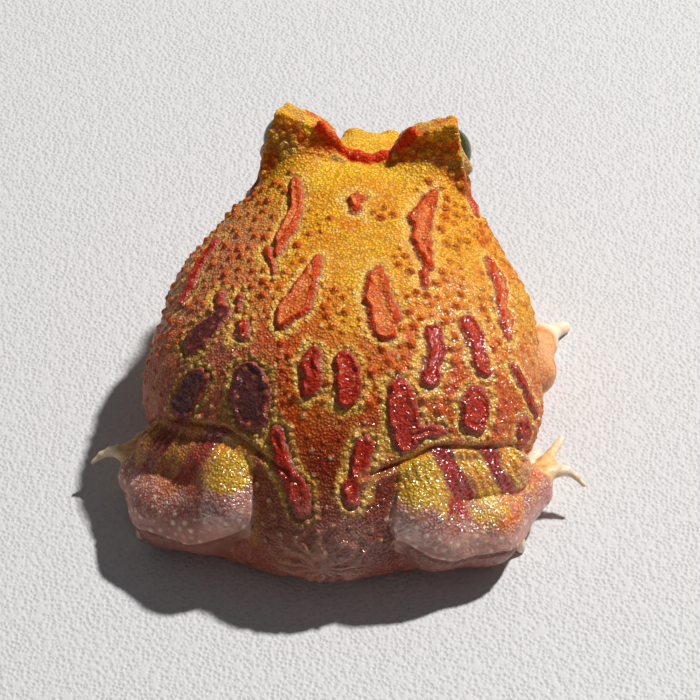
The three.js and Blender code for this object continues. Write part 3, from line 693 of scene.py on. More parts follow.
class Surface:
    """What the skin's relief and colours need to know about each of its points."""

    def __init__(self, points, normals):
        self.points, self.normals = points, normals
        self.x, self.y, self.z = points.T
        self.out = np.abs(self.x)
        self.around = np.degrees(np.arctan2(self.x, self.z - AXIS_HEIGHT))
        self.off_top = np.abs(self.around)
        gaps = self.part_gaps()
        self.shares = shares_of(gaps)
        self.crease = self.crease_of(gaps)
        self.find_blotches()
        self.crest = line_distance(points, *crest_path())
        self.rim = rim_distance(self.out, self.y, self.z)
        self.lid = lid_distance(self.out, self.y, self.z)
        right_half = np.stack([self.out, self.y, self.z], axis=1)
        self.fold = line_distance(right_half, FLANK_FOLD, np.zeros(len(FLANK_FOLD)))
        self.above_sole = self.z - np.interp(self.out, SOLE_EDGE["out"], SOLE_EDGE["height"])
        self.vent_gap = np.linalg.norm(points - VENT, axis=1)
        self.scatter_bumps()

    def part_gaps(self):
        """The distance to each part of the body. Under the flank's fold all is leg."""
        fold_y, fold_z = (np.interp(self.out, FLANK_FOLD[:, 0], FLANK_FOLD[:, m]) for m in (1, 2))
        behind = (self.y - fold_y) * VIEW_UP[1] + (self.z - fold_z) * VIEW_UP[2]
        under = smooth(0.2, -0.2, behind) * smooth(13, 14, self.out) * smooth(10, 13, self.z) * (self.y < -5)
        gaps = dict(body=body_distance(self.x, self.y, self.z) + 4 * under)
        for side in (-1, 1):
            here = self.x * side > 0
            for name, lumps in {**leg_lumps(side), **arm_lumps(side)}.items():
                gap = gaps.setdefault(name, np.full(len(self.x), FAR))
                gap[here] = flesh(self.x[here], self.y[here], self.z[here], lumps, 1.0)
        return gaps

    def crease_of(self, gaps):
        """The grooves where the body meets the legs, and where each foot meets its shank."""
        leg = np.minimum(gaps["shank"], gaps["foot"])
        at_foot = bell(gaps["foot"] - gaps["shank"], 0.5) * smooth(23, 27, self.out)
        at_body = bell(gaps["body"] - leg, 0.8) * smooth(8, 10, self.z)
        crease = at_body + at_foot * np.where(self.x > 0, 0.9, 0.25)
        return crease * smooth(1.2, 0.5, leg) * smooth(10, 12, self.out) * (gaps["toe"] > 1)

    def find_blotches(self):
        """The distance past the nearest blotch's outline, and that blotch's height and darkness."""
        ragged = warped(warped(self.points, 2.6, 0.8, 10), 1.0, 0.36, 20)
        self.edge = np.full(len(self.x), FAR)
        self.blotch_height, self.blotch_dark = np.zeros(len(self.x)), np.zeros(len(self.x))
        for places, halves, height, dark in BLOTCHES:
            gap = line_distance(ragged, on_body(places), halves)
            nearer = gap < self.edge
            self.edge[nearer] = gap[nearer]
            self.blotch_height[nearer], self.blotch_dark[nearer] = height, dark
        self.edge = np.where(self.shares["body"] > 0.3, self.edge, FAR)

    def scattered(self, kind, allowed):
        """The bumps of one kind, spread where they are allowed."""
        spacing, radius, uneven, place_seed, size_seed = BUMPS[kind]
        centres = spread(self.points, spacing, allowed, place_seed)
        return bumps(self.points, centres, radius, size_seed, uneven)

    def scatter_bumps(self):
        on_back = (self.shares["body"] > 0.6) & (self.z > 5)
        off_head = (self.lid > 2.5) & (self.rim > 2) & ((self.y < 46) | (self.z < 24)) & (self.crest > 1.5)
        clear = on_back & off_head & (self.edge > 1.4)
        patchy = noise(self.points, 6, 5)
        sides = smooth(8, 30, self.off_top) - 1.2 * smooth(25, 30, self.y) * smooth(30, 20, self.off_top)
        fore = self.y > np.where(self.around < -25, 1, -14)
        warty = clear & (patchy + 0.6 * sides > 0.05) & fore & (self.fold > 3)
        self.wart, self.wart_own = self.scattered("wart", warty)
        round_blotches = on_back & (self.edge > 0.6) & (self.edge < 1.5) & (self.y < 10) & (self.fold > 1.5)
        self.halo_bead, self.halo_own = self.scattered("halo", round_blotches)
        pearly = (self.y < 8 + 8 * patchy) | (self.off_top > 60)
        rest = clear & (self.wart < 0.1) & pearly & (self.z > 14) & (self.fold > 1.5)
        self.bead, self.bead_own = self.scattered("bead", rest)
        within = on_back & (self.edge < -0.35) & (self.blotch_dark > 0.2)
        self.speck, _ = self.scattered("speck", within)
        lids = (self.lid < 0.8) & (self.rim > 0.6) & (self.crest > 0.6) & (self.z > 38)
        self.knob, self.knob_own = self.scattered("knob", lids)
        pale = (self.shares["foot"] > 0.5) & (self.z > 1)
        self.dot, self.dot_own = self.scattered("dot", pale)


def shank_place(surface):
    """Along the shank from the ankle to the knee, and how far below its upper side, in millimetres."""
    along, below = np.zeros(len(surface.x)), np.zeros(len(surface.x))
    for side in (-1, 1):
        here = surface.x * side > 0
        ankle, knee = LEGS[side]["ankle"], LEGS[side]["knee"]
        ahead = unit(np.subtract(knee, ankle))
        offset = surface.points[here] - ankle
        along[here] = offset @ ahead
        below[here] = LEG_RADII["ankle"] - offset[:, 2] + ahead[2] * along[here]
    return along, below


def heel_gap(points):
    """The distance to the middle of the nearer yellow patch on the heels."""
    return np.min([np.linalg.norm(points - middle, axis=1) for middle in HEEL_PATCHES], axis=0)


def mouth_height(surface):
    """Height above the line of the mouth, and how much of the mouth there is."""
    share = smooth(MOUTH["corner"] - 1, MOUTH["corner"] + 3, surface.y) * surface.shares["body"]
    return surface.z - MOUTH["z"] - 0.6 * np.cos(surface.x / 7), share


def vent_folds(surface):
    """Folds that run out from the vent."""
    x, _, z = (surface.points - VENT).T
    turn = np.arctan2(x, z + 2)
    wave = np.sin(11 * turn + 5 * noise(surface.points, 4, 40)) + 0.5 * noise(surface.points, 1.4, 78)
    sideways = 0.45 + 0.55 * smooth(0, 6, np.abs(x) - z)
    near = bell(surface.vent_gap, 11) * smooth(0.5, 4, surface.vent_gap)
    return wave * near * sideways * surface.shares["body"]


def dome(share):
    """A round bump's height, from the share of the way in to its middle."""
    return 1 - (1 - share) ** 2


def blotch_relief(surface):
    """Flat-topped blotches with a raised rim and a groove round it."""
    s, p = surface, surface.points
    plateau = smooth(0.35, -0.6, s.edge)
    rough = 0.5 * noise(p, 0.9, 31) + 0.5 * noise(p, 1.6, 32)
    raised = 0.45 * plateau + 0.62 * bell(s.edge + 0.5, 0.45) * (1 + 0.7 * noise(p, 1.6, 30))
    lift = s.blotch_height * (raised + 0.15 * rough * smooth(-0.2, -0.8, s.edge))
    return lift - 0.2 * bell(s.edge - 0.45, 0.3)


def bump_relief(surface):
    """Warts and beads beside the blotches, specks in them, and knobs on the lids."""
    s = surface
    room = 1 - smooth(0.35, -0.6, s.edge)
    wart_height = (0.4 + 0.7 * s.wart_own) * room * smooth(110, 85, s.off_top)
    wart_height *= 1 - 0.55 * smooth(50, 75, s.around) - 0.25 * smooth(-50, -75, s.around)
    lift = 0.8 * smooth(0, 1, s.wart) * wart_height
    lift += 0.36 * dome(s.halo_bead) * room
    lift += 0.32 * dome(s.bead) * room + 0.2 * s.speck
    return lift + 0.3 * dome(s.knob) * (0.2 + s.knob_own)


def body_relief(surface):
    """Wrinkles, the uneven snout, the lips and the folds round the vent."""
    s, p = surface, surface.points
    wrinkles = noise(p * WRINKLE_STRETCH, 0.8, 43) * smooth(45, 65, s.off_top)
    lift = (0.07 * noise(p, 1.3, 33) + 0.18 * noise(p, 5, 34) + 0.16 * wrinkles) * s.shares["body"]
    lift += 0.5 * noise(p, 4, 42) * smooth(46, 50, s.y) * smooth(24, 28, s.z)
    mouth, share = mouth_height(s)
    lift += share * (0.55 * bell(np.abs(mouth) - 1.4, 0.9) - 0.85 * bell(mouth, 0.42))
    lift += 0.3 * vent_folds(s) - 0.8 * bell(s.vent_gap, 1.1)
    lid = smooth(0.8, 0.2, s.lid) * smooth(0.2, 0.8, s.rim)
    return lift + lid * (0.12 * noise(p, 1.1, 39) + 0.2 * noise(p, 2.2, 41))


def limb_relief(surface):
    """The creases round the legs, the edge of the sole, and the limbs' uneven skin."""
    s, p = surface, surface.points
    lift = 0.35 * bell(s.fold - 1.3, 0.8) - 0.75 * np.maximum(bell(s.fold, 0.42), s.crease)
    lip = 0.2 * bell(s.above_sole - 0.5, 0.7) - 0.45 * bell(s.above_sole + 0.5, 0.5)
    lift += s.shares["foot"] * lip * smooth(12, 17, s.out)
    along, below = shank_place(s)
    crossing = np.sin(2 * math.pi * (along - BAR_SLANT * below) / 1.7 + 1.6 * noise(p, 3, 35))
    lift += s.shares["shank"] * (0.1 * crossing + 0.16 * noise(p, 1.5, 36))
    lift += s.shares["foot"] * (0.12 * noise(p, 1.4, 37) + 0.14 * s.dot * smooth(0, 1, s.dot))
    return lift + (s.shares["arm"] + s.shares["thigh"]) * 0.12 * noise(p, 1.4, 38)


def relief(surface):
    """How far each point stands out from the smooth flesh, in millimetres."""
    lift = blotch_relief(surface) + bump_relief(surface) + body_relief(surface) + limb_relief(surface)
    return lift * smooth(0.1, 1.5, surface.z) * smooth(-0.1, 0.4, surface.rim)


def tone(red, green, blue):
    """A colour given by its display values from 0 to 255, as linear light."""
    c = np.array([red, green, blue]) / 255
    return np.where(c <= 0.04045, c / 12.92, ((c + 0.055) / 1.055) ** 2.4)


GOLD, YELLOW, ORANGE = tone(241, 178, 38), tone(250, 208, 52), tone(232, 120, 26)
EMBER, BRICK, RUMP = tone(212, 70, 12), tone(160, 58, 24), tone(118, 38, 20)
OLIVE, BROWN, PINK = tone(200, 164, 76), tone(204, 132, 98), tone(218, 140, 114)
CREAM, PALE, MAUVE = tone(248, 226, 160), tone(240, 212, 190), tone(186, 122, 112)
RED, DEEP_RED, WINE = tone(226, 62, 4), tone(176, 30, 4), tone(112, 20, 6)
GREY_PURPLE, LIME, TIP = tone(176, 112, 92), tone(232, 188, 38), tone(208, 92, 14)
RUST, PLUM, DARK_RIM = tone(220, 100, 20), tone(104, 52, 50), tone(118, 30, 26)
HALO, APRICOT, SCARLET = tone(250, 208, 92), tone(232, 140, 60), tone(196, 44, 8)
SPECK, SAND, AMBER = tone(214, 128, 64), tone(214, 190, 120), tone(248, 176, 52)
CLAY, COPPER, UMBER = tone(172, 104, 76), tone(196, 118, 84), tone(158, 100, 84)
ROSE, PEARL, IVORY = tone(214, 156, 140), tone(252, 232, 196), tone(250, 226, 196)
HONEY, PEACH, TANGERINE = tone(240, 176, 70), tone(244, 178, 118), tone(228, 122, 62)
FAWN, DUSK, BLUSH = tone(216, 152, 84), tone(150, 86, 72), tone(196, 152, 130)
RUSSET = tone(150, 82, 66)


def painted(under, *layers):
    """A colour under some layers, each a colour and how much of it there is."""
    for over, share in layers:
        under = under + (over - under) * np.clip(share, 0, 1)[:, None]
    return under


def body_tint(surface):
    """Gold ahead, orange and red behind, browner on the left and pale below."""
    s, p = surface, surface.points
    wander, speckle = noise(p, 11, 50), noise(p, 2.2, 51)
    fore = s.y + 4 * wander
    behind = smooth(10, -8, fore - 6 * bell(s.around - 5, 14))
    left = smooth(-18, -48, s.around + 8 * wander)
    return painted(
        GOLD,
        (YELLOW, smooth(24, 34, fore) * smooth(40, 15, s.off_top) * 0.7),
        (ORANGE, smooth(22, 2, fore) * (0.5 + 0.25 * speckle)),
        (ORANGE, smooth(-0.1, 0.6, noise(p, 5, 52)) * 0.45),
        (EMBER, behind * (0.75 + 0.25 * speckle)),
        (YELLOW, bell(s.around - 3, 9) * smooth(-8, 0, s.y) * smooth(24, 14, s.y) * 0.6),
        (RUMP, smooth(-13, -25, fore) * 0.85),
        (BROWN, left * smooth(40, 20, s.y) * 0.75),
        (BRICK, left * smooth(14, 0, fore) * 0.25),
        (OLIVE, smooth(0.1, 0.6, noise(p, 3.4, 53)) * (0.15 + 0.3 * left) * smooth(36, 10, s.y)),
        (PINK, smooth(11, 4, s.z + 1.5 * wander) * 0.75),
        (CREAM, smooth(30, 38, s.y) * smooth(17, 10, s.z)),
        (PALE, smooth(4, 0.5, s.z)),
    )


def blotch_tint(surface, tint):
    """Adds the raised blotches: a granular middle, a red rim, a grey outline and a pale beaded halo."""
    s, p = surface, surface.points
    dark = s.blotch_dark
    halo = smooth(2.4, 1.1, s.edge + 0.5 * noise(p, 3, 73)) * smooth(0.15, 0.6, s.edge)
    halo_tone = painted(HALO, (OLIVE, smooth(0.5, 0.9, dark)))
    rim = painted(RED, (DEEP_RED, smooth(0.05, 0.4, dark)), (DARK_RIM, smooth(0.75, 0.9, dark)))
    middle = painted(
        APRICOT,
        (SCARLET, smooth(0.1, 0.32, dark)),
        (WINE, smooth(0.5, 0.9, dark)),
        (RUST, smooth(0.2, 0.7, noise(p, 1.5, 71)) * (0.7 - 0.6 * dark)),
        (PLUM, smooth(0.82, 0.9, dark) * smooth(0, -30, s.around)),
    )
    inside = painted(rim, (middle, smooth(-0.4, -0.85, s.edge) * (0.8 + 0.4 * noise(p, 1.1, 55))))
    return painted(
        tint,
        (halo_tone, halo * (0.85 + 0.2 * noise(p, 1.8, 54))),
        (GREY_PURPLE, bell(s.edge - 0.2, 0.3) * 0.9),
        (inside, smooth(0.12, -0.22, s.edge)),
    )


def bump_tint(surface, tint):
    """Colours the tips of warts and beads."""
    s = surface
    outside = smooth(-0.2, 0.3, s.edge)
    strength = (0.45 + 0.5 * s.wart_own) * (1 - 0.45 * smooth(20, 45, s.around) * smooth(6, 14, s.y))
    bright = painted(YELLOW, (CREAM, s.halo_own))
    return painted(
        tint,
        (TIP, smooth(0.0, 0.45, s.wart) * outside * strength),
        (SPECK, smooth(0.2, 0.7, s.speck) * 0.5),
        (bright, smooth(0.2, 0.75, s.halo_bead) * outside * (1 - 0.45 * s.blotch_dark)),
        (CREAM, smooth(0.2, 0.8, s.bead) * outside * smooth(0.3, 0.5, s.bead_own) * 0.7),
    )


def lid_tint(surface, tint):
    """Colours the horned lids, the rims of the eyes and the crest."""
    s, p = surface, surface.points
    patch = painted(
        ORANGE,
        (OLIVE, smooth(-0.2, 0.5, noise(p, 3, 56))),
        (LIME, smooth(0.2, 0.7, noise(p, 2.4, 57)) * smooth(41, 46, s.z)),
        (BRICK, smooth(43, 38, s.z + noise(p, 3, 58)) * 0.5),
        (GOLD, smooth(46.5, 49, s.z + noise(p, 2, 74))),
        (YELLOW, smooth(0.1, 0.7, s.knob) * s.knob_own * 0.8),
    )
    crest = smooth(1.1, 0.4, s.crest + 0.4 * noise(p, 1.4, 59))
    return painted(
        tint,
        (patch, smooth(1.6, 0.3, s.lid) * smooth(36, 40, s.y)),
        (SAND, smooth(0.5, 0.1, s.rim) * 0.8),
        (RED, crest),
        (RUST, crest * smooth(0.1, 0.7, noise(p, 1.0, 60)) * 0.8),
    )


def shank_tint(surface):
    """Dark red bars with grey edges across a yellow and orange shank."""
    s, p = surface, surface.points
    along, below = shank_place(s)
    across = along - BAR_SLANT * below + 0.7 * noise(p, 2.5, 61)
    bars = []
    for middle, half in SHANK_BARS:
        edge = np.abs(across - middle) - half
        bars += [(GREY_PURPLE, bell(edge - 0.25, 0.4) * 0.85), (DEEP_RED, smooth(0.25, -0.25, edge))]
    return painted(
        AMBER,
        (YELLOW, smooth(-0.1, 0.5, noise(p, 2.4, 62))),
        (EMBER, smooth(4, 9, below + noise(p, 2, 63)) * 0.7),
        *bars,
        (PINK, smooth(17, 21, along) * 0.6),
        (LIME, smooth(0.5, -1.2, heel_gap(p) - HEEL_PATCH_RADIUS + noise(p, 1.5, 77))),
        (CLAY, smooth(-20, -24, s.x) * (0.65 + 0.3 * noise(p, 2.6, 80))),
        (BRICK, smooth(9, 4, s.z) * 0.6),
    )


def foot_top_tint(surface, ragged):
    """The foot's upper side: yellow heel, one red bar and orange outer part."""
    s, p = surface, surface.points
    out = s.out + 0.6 * ragged
    outer = painted(ORANGE, (GOLD, smooth(-0.2, 0.4, noise(p, 2, 75))))
    return painted(
        LIME,
        (DEEP_RED, smooth(22, 23, out) * smooth(27, 26.2, out)),
        (OLIVE, smooth(0, 0.6, noise(p, 2, 79)) * 0.5),
        (outer, smooth(31, 33, out)),
        (COPPER, smooth(-20, -24, s.x) * 0.85),
    )


def foot_tint(surface):
    """A coloured upper side over a pale pink sole with pale dots."""
    s, p = surface, surface.points
    heel = heel_gap(p)
    ragged = noise(p, 2.2, 64) + 0.6 * noise(p, 1.1, 65)
    slanted = s.z + 0.33 * (s.out - 15.5)  # the markings run lower towards the toes
    near_edge = smooth(7, 1, np.abs(slanted - 17.5))
    boundary = 19.9 + 1.6 * smooth(0, -5, s.x) + 2.2 * smooth(24, 20, s.out)
    return painted(
        ROSE,
        (MAUVE, smooth(-0.3, 0.6, noise(p, 4, 66)) * 0.7),
        (PEARL, smooth(0.1, 0.6, s.dot) * (0.3 + 0.6 * near_edge * s.dot_own)),
        (foot_top_tint(s, ragged), smooth(-1.2, 1.2, slanted - boundary + 1.1 * ragged)),
        (LIME, smooth(0.7, -0.7, heel - HEEL_PATCH_RADIUS + 0.7 * ragged)),
        (GOLD, smooth(0.2, 0.8, noise(p, 1.6, 76)) * smooth(6, 4, heel) * 0.6),
        (UMBER, smooth(0.3, -0.3, s.above_sole) * smooth(12, 16, s.out)),
    )


def digit_tint(surface):
    return painted(IVORY, (HONEY, smooth(44, 39, surface.out) * smooth(4, 8, surface.z) * 0.8))


def arm_tint(surface):
    wrinkles = noise(surface.points * WRINKLE_STRETCH, 1.2, 68)
    return painted(PEACH, (TANGERINE, smooth(0, 0.6, wrinkles) * 0.6))


def skin_tint(surface):
    """The skin's colours, with each part's own fading into the next part's."""
    s, p = surface, surface.points
    streaks = 0.4 + 0.5 * vent_folds(s) + 0.3 * noise(p, 2.5, 72)
    mouth, share = mouth_height(s)
    body = painted(
        lid_tint(s, bump_tint(s, blotch_tint(s, body_tint(s)))),
        (FAWN, bell(s.fold - 1.0, 0.5) * smooth(-5, 5, s.x) * 0.6),
        (DUSK, smooth(16, 9, s.vent_gap) * 0.6),
        (BLUSH, smooth(14, 6, s.vent_gap) * streaks * 0.8),
        (BRICK, share * bell(mouth, 0.5) * 0.8),
    )
    thigh = painted(RUSSET, (PINK, 0.5 + 0.5 * noise(p, 2, 69)))
    digits = digit_tint(s)
    parts = dict(body=body, thigh=thigh, shank=shank_tint(s), foot=foot_tint(s), toe=digits,
                 arm=arm_tint(s), hand=digits)
    return sum(s.shares[name][:, None] * tint for name, tint in parts.items())


def grain(surface):
    """How strongly the fine granules show."""
    s = surface
    sole = s.shares["foot"] * smooth(0, -2, s.z - 20.8 + 0.4 * (s.out - 15))
    smoother = s.shares["toe"] + s.shares["hand"] + 0.85 * sole + 0.5 * s.shares["arm"]
    smoother += 0.7 * smooth(0.1, -0.3, s.edge) * s.blotch_dark + 0.5 * bell(s.vent_gap, 9)
    return np.clip(1 - smoother, 0.08, 1) * smooth(0.5, 4, s.z)


def wetness(surface):
    """How wet each point looks."""
    s = surface
    legs = s.shares["shank"] + s.shares["foot"] * smooth(14, 18, s.z)
    legs *= np.where(s.x > 0, 1, smooth(-24, -21, s.x))
    patches = smooth(0.3, 0.8, noise(s.points, 6, 70))
    blotches = smooth(0.1, -0.4, s.edge) * (0.1 + 0.15 * s.blotch_dark)
    right = smooth(15, 50, s.around) * smooth(24, 8, s.y)
    return np.clip(0.12 + legs + blotches + 0.3 * patches + 0.4 * right, 0, 1)


def write_values(mesh, name, values, kind="FLOAT"):
    layer = mesh.attributes.new(name, kind, "POINT")
    if kind == "FLOAT_COLOR":
        values = np.concatenate([np.clip(values, 0, 1), np.ones((len(values), 1))], axis=1)
        layer.data.foreach_set("color", values.astype(np.float32).ravel())
    else:
        layer.data.foreach_set("value", values.astype(np.float32))


# The places of the colour sockets in a Mix node
FACTOR, COLOUR_A, COLOUR_B, COLOUR_RESULT = 0, 6, 7, 2


class Nodes:
    """Short names for building a material out of nodes."""

    def __init__(self, name):
        self.material = bpy.data.materials.new(name)
        self.material.use_nodes = True
        self.tree = self.material.node_tree
        self.shader = self.tree.nodes["Principled BSDF"]

    def add(self, kind, inputs=(), **settings):
        node = self.tree.nodes.new("ShaderNode" + kind)
        for name, value in settings.items():
            setattr(node, name, value)
        for name, value in dict(inputs).items():
            self.set(node, name, value)
        return node

    def set(self, node, name, value):
        if isinstance(value, bpy.types.NodeSocket):
            self.tree.links.new(value, node.inputs[name])
        else:
            node.inputs[name].default_value = value

    def attribute(self, name):
        return self.add("Attribute", attribute_name=name)

    def finish(self, values):
        """Sets the shader's own values, which are the same all over."""
        for name, value in values.items():
            self.shader.inputs[name].default_value = value

    def math(self, operation, a, b=0.0):
        return self.add("Math", {0: a, 1: b}, operation=operation).outputs[0]

    def ranged(self, value, low, high, new_low=0.0, new_high=1.0):
        inputs = {"Value": value, "From Min": low, "From Max": high, "To Min": new_low, "To Max": new_high}
        return self.add("MapRange", inputs).outputs[0]

    def mix(self, share, a, b, blend_type="MIX"):
        sockets = {FACTOR: share, COLOUR_A: a, COLOUR_B: b}
        return self.add("Mix", sockets, data_type="RGBA", blend_type=blend_type).outputs[COLOUR_RESULT]


GRANULE = 0.56 * MM  # the fine granules' spacing
FILM_RIPPLE = 0.75 * MM  # the size of the ripples in the wet film
# Darker valleys and paler tops for the granules: partly the skin's own colour, partly painted shade between
# the granules and a painted highlight on their tops
VALLEY_TONE_AND_SHADE, TOP_TONE_AND_HIGHLIGHT = (0.78, 0.50, 0.36, 1), (1.16, 1.42, 1.8, 1)  # multiply the skin's colour
GRANULE_CONTRAST = 0.85
GRANULE_BUMP = {"Strength": 0.8, "Distance": 0.26 * MM}
FILM_BUMP = {"Strength": 1.0, "Distance": 0.7 * MM}
SKIN_FINISH = {
    "Coat Roughness": 0.15, "Coat IOR": 2.0, "Specular IOR Level": 0.1,
    "Subsurface Weight": 0.22, "Subsurface Radius": (1.0, 0.35, 0.15), "Subsurface Scale": 1.4 * MM,
}


def skin_material():
    m = Nodes("skin")
    tint, grain_value = m.attribute("tint").outputs["Color"], m.attribute("grain").outputs["Fac"]
    where = m.add("TexCoord").outputs["Object"]
    granules = m.add("TexVoronoi", {"Vector": where, "Scale": 1 / GRANULE, "Randomness": 0.85})
    finer = m.add("TexNoise", {"Vector": where, "Scale": 0.5 / GRANULE, "Detail": 3.0})
    tops = m.ranged(granules.outputs["Distance"], 0.62, 0.12)
    # Painted shade in the valleys between granules and a painted highlight on their tops, over the skin's
    # own two tones
    valley_and_shade = m.mix(1.0, tint, VALLEY_TONE_AND_SHADE, "MULTIPLY")
    top = m.mix(1.0, tint, TOP_TONE_AND_HIGHLIGHT, "MULTIPLY")
    granular = m.mix(tops, valley_and_shade, top)
    colour = m.mix(m.math("MULTIPLY", grain_value, GRANULE_CONTRAST), tint, granular)
    uneven = m.ranged(finer.outputs["Fac"], 0.3, 0.7, 0.8, 1.15)
    shade = m.add("CombineColor", {"Red": uneven, "Green": uneven, "Blue": uneven}).outputs[0]
    colour = m.mix(1.0, colour, shade, "MULTIPLY")
    m.set(m.shader, "Base Color", colour)

    m.set(m.shader, "Roughness", m.ranged(finer.outputs["Fac"], 0.35, 0.65, 0.42, 0.58))
    m.set(m.shader, "Coat Weight", m.attribute("wet").outputs["Fac"])
    m.finish(SKIN_FINISH)

    domes = m.math("ADD", m.math("POWER", tops, 0.7), m.math("MULTIPLY", finer.outputs["Fac"], 0.5))
    bump = m.add("Bump", {"Height": m.math("MULTIPLY", domes, grain_value), **GRANULE_BUMP})
    m.set(m.shader, "Normal", bump.outputs[0])
    film = m.add("TexNoise", {"Vector": where, "Scale": 1 / FILM_RIPPLE, "Detail": 1.0})
    film_bump = m.add("Bump", {"Height": film.outputs["Fac"], **FILM_BUMP})
    m.set(m.shader, "Coat Normal", film_bump.outputs[0])
    return m.material


def make_skin():
    """One closed skin over all the flesh, with its relief and colours."""
    grid = Grid(GRID_LOW, GRID_HIGH, STEP)
    for work in (fill_body, add_legs, add_arms, add_lids, add_crest, carve_eyes, carve_nostrils, cut_floor):
        work(grid)
    points, faces = net_of(grid)
    points = settle(grid, points)
    surface = Surface(points, slope(grid, points))
    points = points + surface.normals * relief(surface)[:, None]
    points[:, 2] = np.maximum(points[:, 2], 0)
    skin = mesh_object("skin", place(points), faces)
    write_values(skin.data, "tint", skin_tint(surface), "FLOAT_COLOR")
    write_values(skin.data, "grain", grain(surface))
    write_values(skin.data, "wet", wetness(surface))
    skin.data.materials.append(skin_material())
    flesh_nodes = [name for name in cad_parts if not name.startswith("eye_")]
    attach(skin, "root")
    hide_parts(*flesh_nodes)


# The eye: its markings are bands of the angle from the way it looks
PUPIL_LONG, PUPIL_SHORT = 24.0, 12.0
IRIS_EDGE = 62.0
IRIS, FLECK, IRIS_RING = tone(58, 62, 34), tone(150, 120, 50), tone(150, 118, 52)
PUPIL, IRIS_RIM, EYE_SIDE = tone(4, 4, 4), tone(30, 38, 26), tone(52, 44, 34)
EYE_MESH = dict(u_segments=128, v_segments=80, radius=EYE_RADIUS)
EYE_FINISH = {
    "Roughness": 0.12, "IOR": 1.33, "Specular IOR Level": 0.3, "Coat Weight": 0.15, "Coat Roughness": 0.03,
}


def eye_tint(points, axis):
    """A dark flat pupil in a green-brown iris with gold flecks, and a dark rim."""
    outward = points / np.linalg.norm(points, axis=1, keepdims=True)
    side = unit(np.cross((0, 0, 1), axis))
    angle = np.degrees(np.arccos(np.clip(outward @ axis, -1, 1)))
    long, short = np.degrees(outward @ side), np.degrees(outward @ np.cross(axis, side))
    pupil = np.sqrt((long / PUPIL_LONG) ** 2 + (short / PUPIL_SHORT) ** 2) * 10
    flecks = noise(points, 0.5, 80) + 0.5 * noise(points, 0.25, 81)
    return painted(
        IRIS,
        (FLECK, smooth(0.1, 0.8, flecks) * 0.7),
        (IRIS_RING, bell(pupil - 10.8, 0.7) * 0.8),
        (PUPIL, smooth(10.4, 9.6, pupil)),
        (IRIS_RIM, smooth(45, IRIS_EDGE, angle)),
        (EYE_SIDE, smooth(IRIS_EDGE + 14, IRIS_EDGE + 34, angle)),
    )


def eye_material():
    m = Nodes("eye")
    m.set(m.shader, "Base Color", m.attribute("tint").outputs["Color"])
    m.finish(EYE_FINISH)
    return m.material


def eyeball(name, side):
    mesh = bpy.data.meshes.new(name)
    shape = bmesh.new()
    bmesh.ops.create_uvsphere(shape, **EYE_MESH)
    axis = unit(mirrored(EYE_AXIS, side))
    shape.transform(Vector((0, 0, 1)).rotation_difference(Vector(axis)).to_matrix().to_4x4())
    shape.to_mesh(mesh)
    shape.free()
    mesh.shade_smooth()
    points = np.array([v.co for v in mesh.vertices], float)
    write_values(mesh, "tint", eye_tint(points, axis), "FLOAT_COLOR")
    mesh.vertices.foreach_set("co", place(points + mirrored(EYE, side)).astype(np.float32).ravel())
    mesh.update()
    return added(name, mesh)


def make_eyes():
    material = eye_material()
    for side, name in ((1, "right"), (-1, "left")):
        eye = eyeball("eyeball_" + name, side)
        eye.data.materials.append(material)
        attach(eye, "root")
        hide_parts("eye_" + name)


# The camera: where it looks from, and the photograph's picture of the target, in pixels of its 700
CAMERA = dict(elevation=50, yaw=6.6, distance=520.0, target=(0.0, 0.0, 15.0))
SENSOR_WIDTH = 36
PICTURE_WIDTH = 700
PIXELS_PER_MM = 5.25  # at the target
PIXELS_PER_RADIAN = PIXELS_PER_MM * CAMERA["distance"]
TARGET_PIXEL = (340, 412)


def facing(direction):
    """The turn that makes a camera or lamp face a direction with its top upward."""
    return Vector(direction).to_track_quat("-Z", "Y")


def level_directions():
    """To the right of the camera and away from it, along the floor."""
    yaw = math.radians(CAMERA["yaw"])
    right = np.array([math.cos(yaw), math.sin(yaw), 0.0])
    return right, np.array([-right[1], right[0], 0.0])


def make_camera():
    elevation = math.radians(CAMERA["elevation"])
    right, away = level_directions()
    ahead = away * math.cos(elevation) - np.array([0, 0, math.sin(elevation)])
    up = np.cross(right, ahead)
    eye = np.array(CAMERA["target"]) - ahead * CAMERA["distance"]
    across = PICTURE_WIDTH / 2 - TARGET_PIXEL[0]
    above = TARGET_PIXEL[1] - PICTURE_WIDTH / 2
    look = ahead + right * across / PIXELS_PER_RADIAN + up * above / PIXELS_PER_RADIAN
    camera = bpy.data.cameras.new("camera")
    camera.sensor_width = SENSOR_WIDTH
    camera.lens = SENSOR_WIDTH * PIXELS_PER_RADIAN / PICTURE_WIDTH
    camera.clip_start = 0.01
    obj = added("camera", camera)
    obj.matrix_world = Matrix.Translation(place(eye)) @ facing(look).to_matrix().to_4x4()
    bpy.context.scene.camera = obj


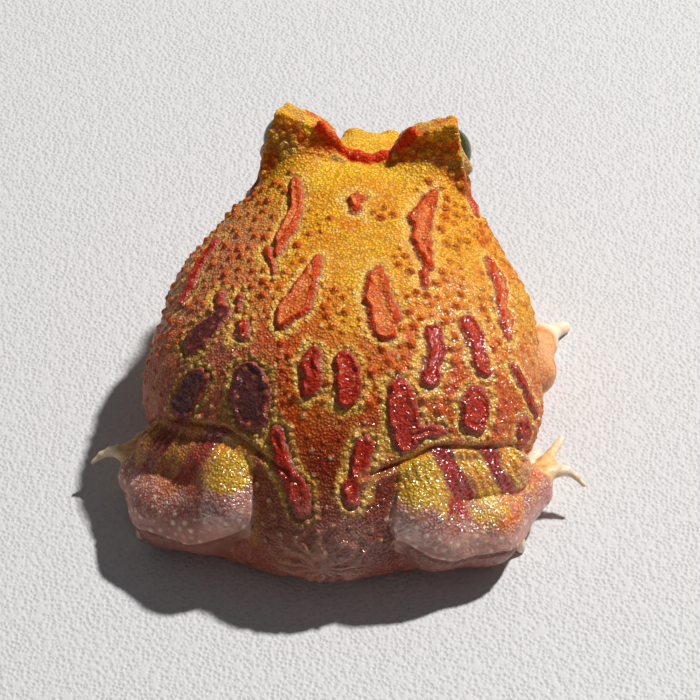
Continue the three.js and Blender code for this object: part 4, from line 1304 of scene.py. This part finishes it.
FLOOR_SIZE = 3.0
FLOOR_PIT = 0.85 * MM  # the spacing of the floor's small pits
# The pits are coloured a little darker than the floor round them: painted shade in the pits
PIT_SHADE_COLOUR, FLOOR_COLOUR = (0.62, 0.62, 0.63, 1), (0.70, 0.70, 0.71, 1)


def floor_material():
    m = Nodes("floor")
    where = m.add("TexCoord").outputs["Object"]
    pits = m.add("TexVoronoi", {"Vector": where, "Scale": 1 / FLOOR_PIT, "Randomness": 0.8})
    wide = m.add("TexNoise", {"Vector": where, "Scale": 0.5 / FLOOR_PIT, "Detail": 4.0})
    flat = m.ranged(pits.outputs["Distance"], 0.0, 0.7)
    height = m.math("ADD", flat, m.math("MULTIPLY", wide.outputs["Fac"], 0.5))
    # Painted shade: the pits darker than the floor round them
    m.set(m.shader, "Base Color", m.mix(flat, PIT_SHADE_COLOUR, FLOOR_COLOUR))
    m.finish({"Roughness": 0.6})
    bump = m.add("Bump", {"Height": height, "Strength": 0.8, "Distance": 0.22 * MM})
    m.set(m.shader, "Normal", bump.outputs[0])
    return m.material


def make_floor():
    bpy.ops.mesh.primitive_plane_add(size=FLOOR_SIZE)
    floor = bpy.context.object
    floor.name = "floor"
    floor.data.materials.append(floor_material())


# The main light comes from ahead on the right: how far a shadow falls for each millimetre of height
SHADOW_LEFT, SHADOW_BACK = 0.60, 0.45
LAMP = dict(distance=2.6, size=0.146, energy=80, color=(1.0, 0.985, 0.96))
SKY_COLOUR, SKY_STRENGTH = (0.95, 0.97, 1.0, 1), 0.11


def make_light():
    right, away = level_directions()
    to_light = unit(SHADOW_LEFT * right + SHADOW_BACK * away + np.array([0, 0, 1.0]))
    lamp = bpy.data.lights.new("key", "AREA")
    lamp.shape = "DISK"
    lamp.energy, lamp.color, lamp.size = LAMP["energy"], LAMP["color"], LAMP["size"]
    obj = added("key", lamp)
    obj.location = Vector(to_light * LAMP["distance"])
    obj.rotation_euler = facing(-to_light).to_euler()


def make_sky():
    world = bpy.data.worlds.new("world")
    bpy.context.scene.world = world
    world.use_nodes = True
    background = world.node_tree.nodes["Background"]
    background.inputs["Color"].default_value = SKY_COLOUR
    background.inputs["Strength"].default_value = SKY_STRENGTH
    bpy.context.scene.view_settings.view_transform = "Standard"


make_camera()
make_skin()
make_eyes()
make_floor()
make_light()
make_sky()
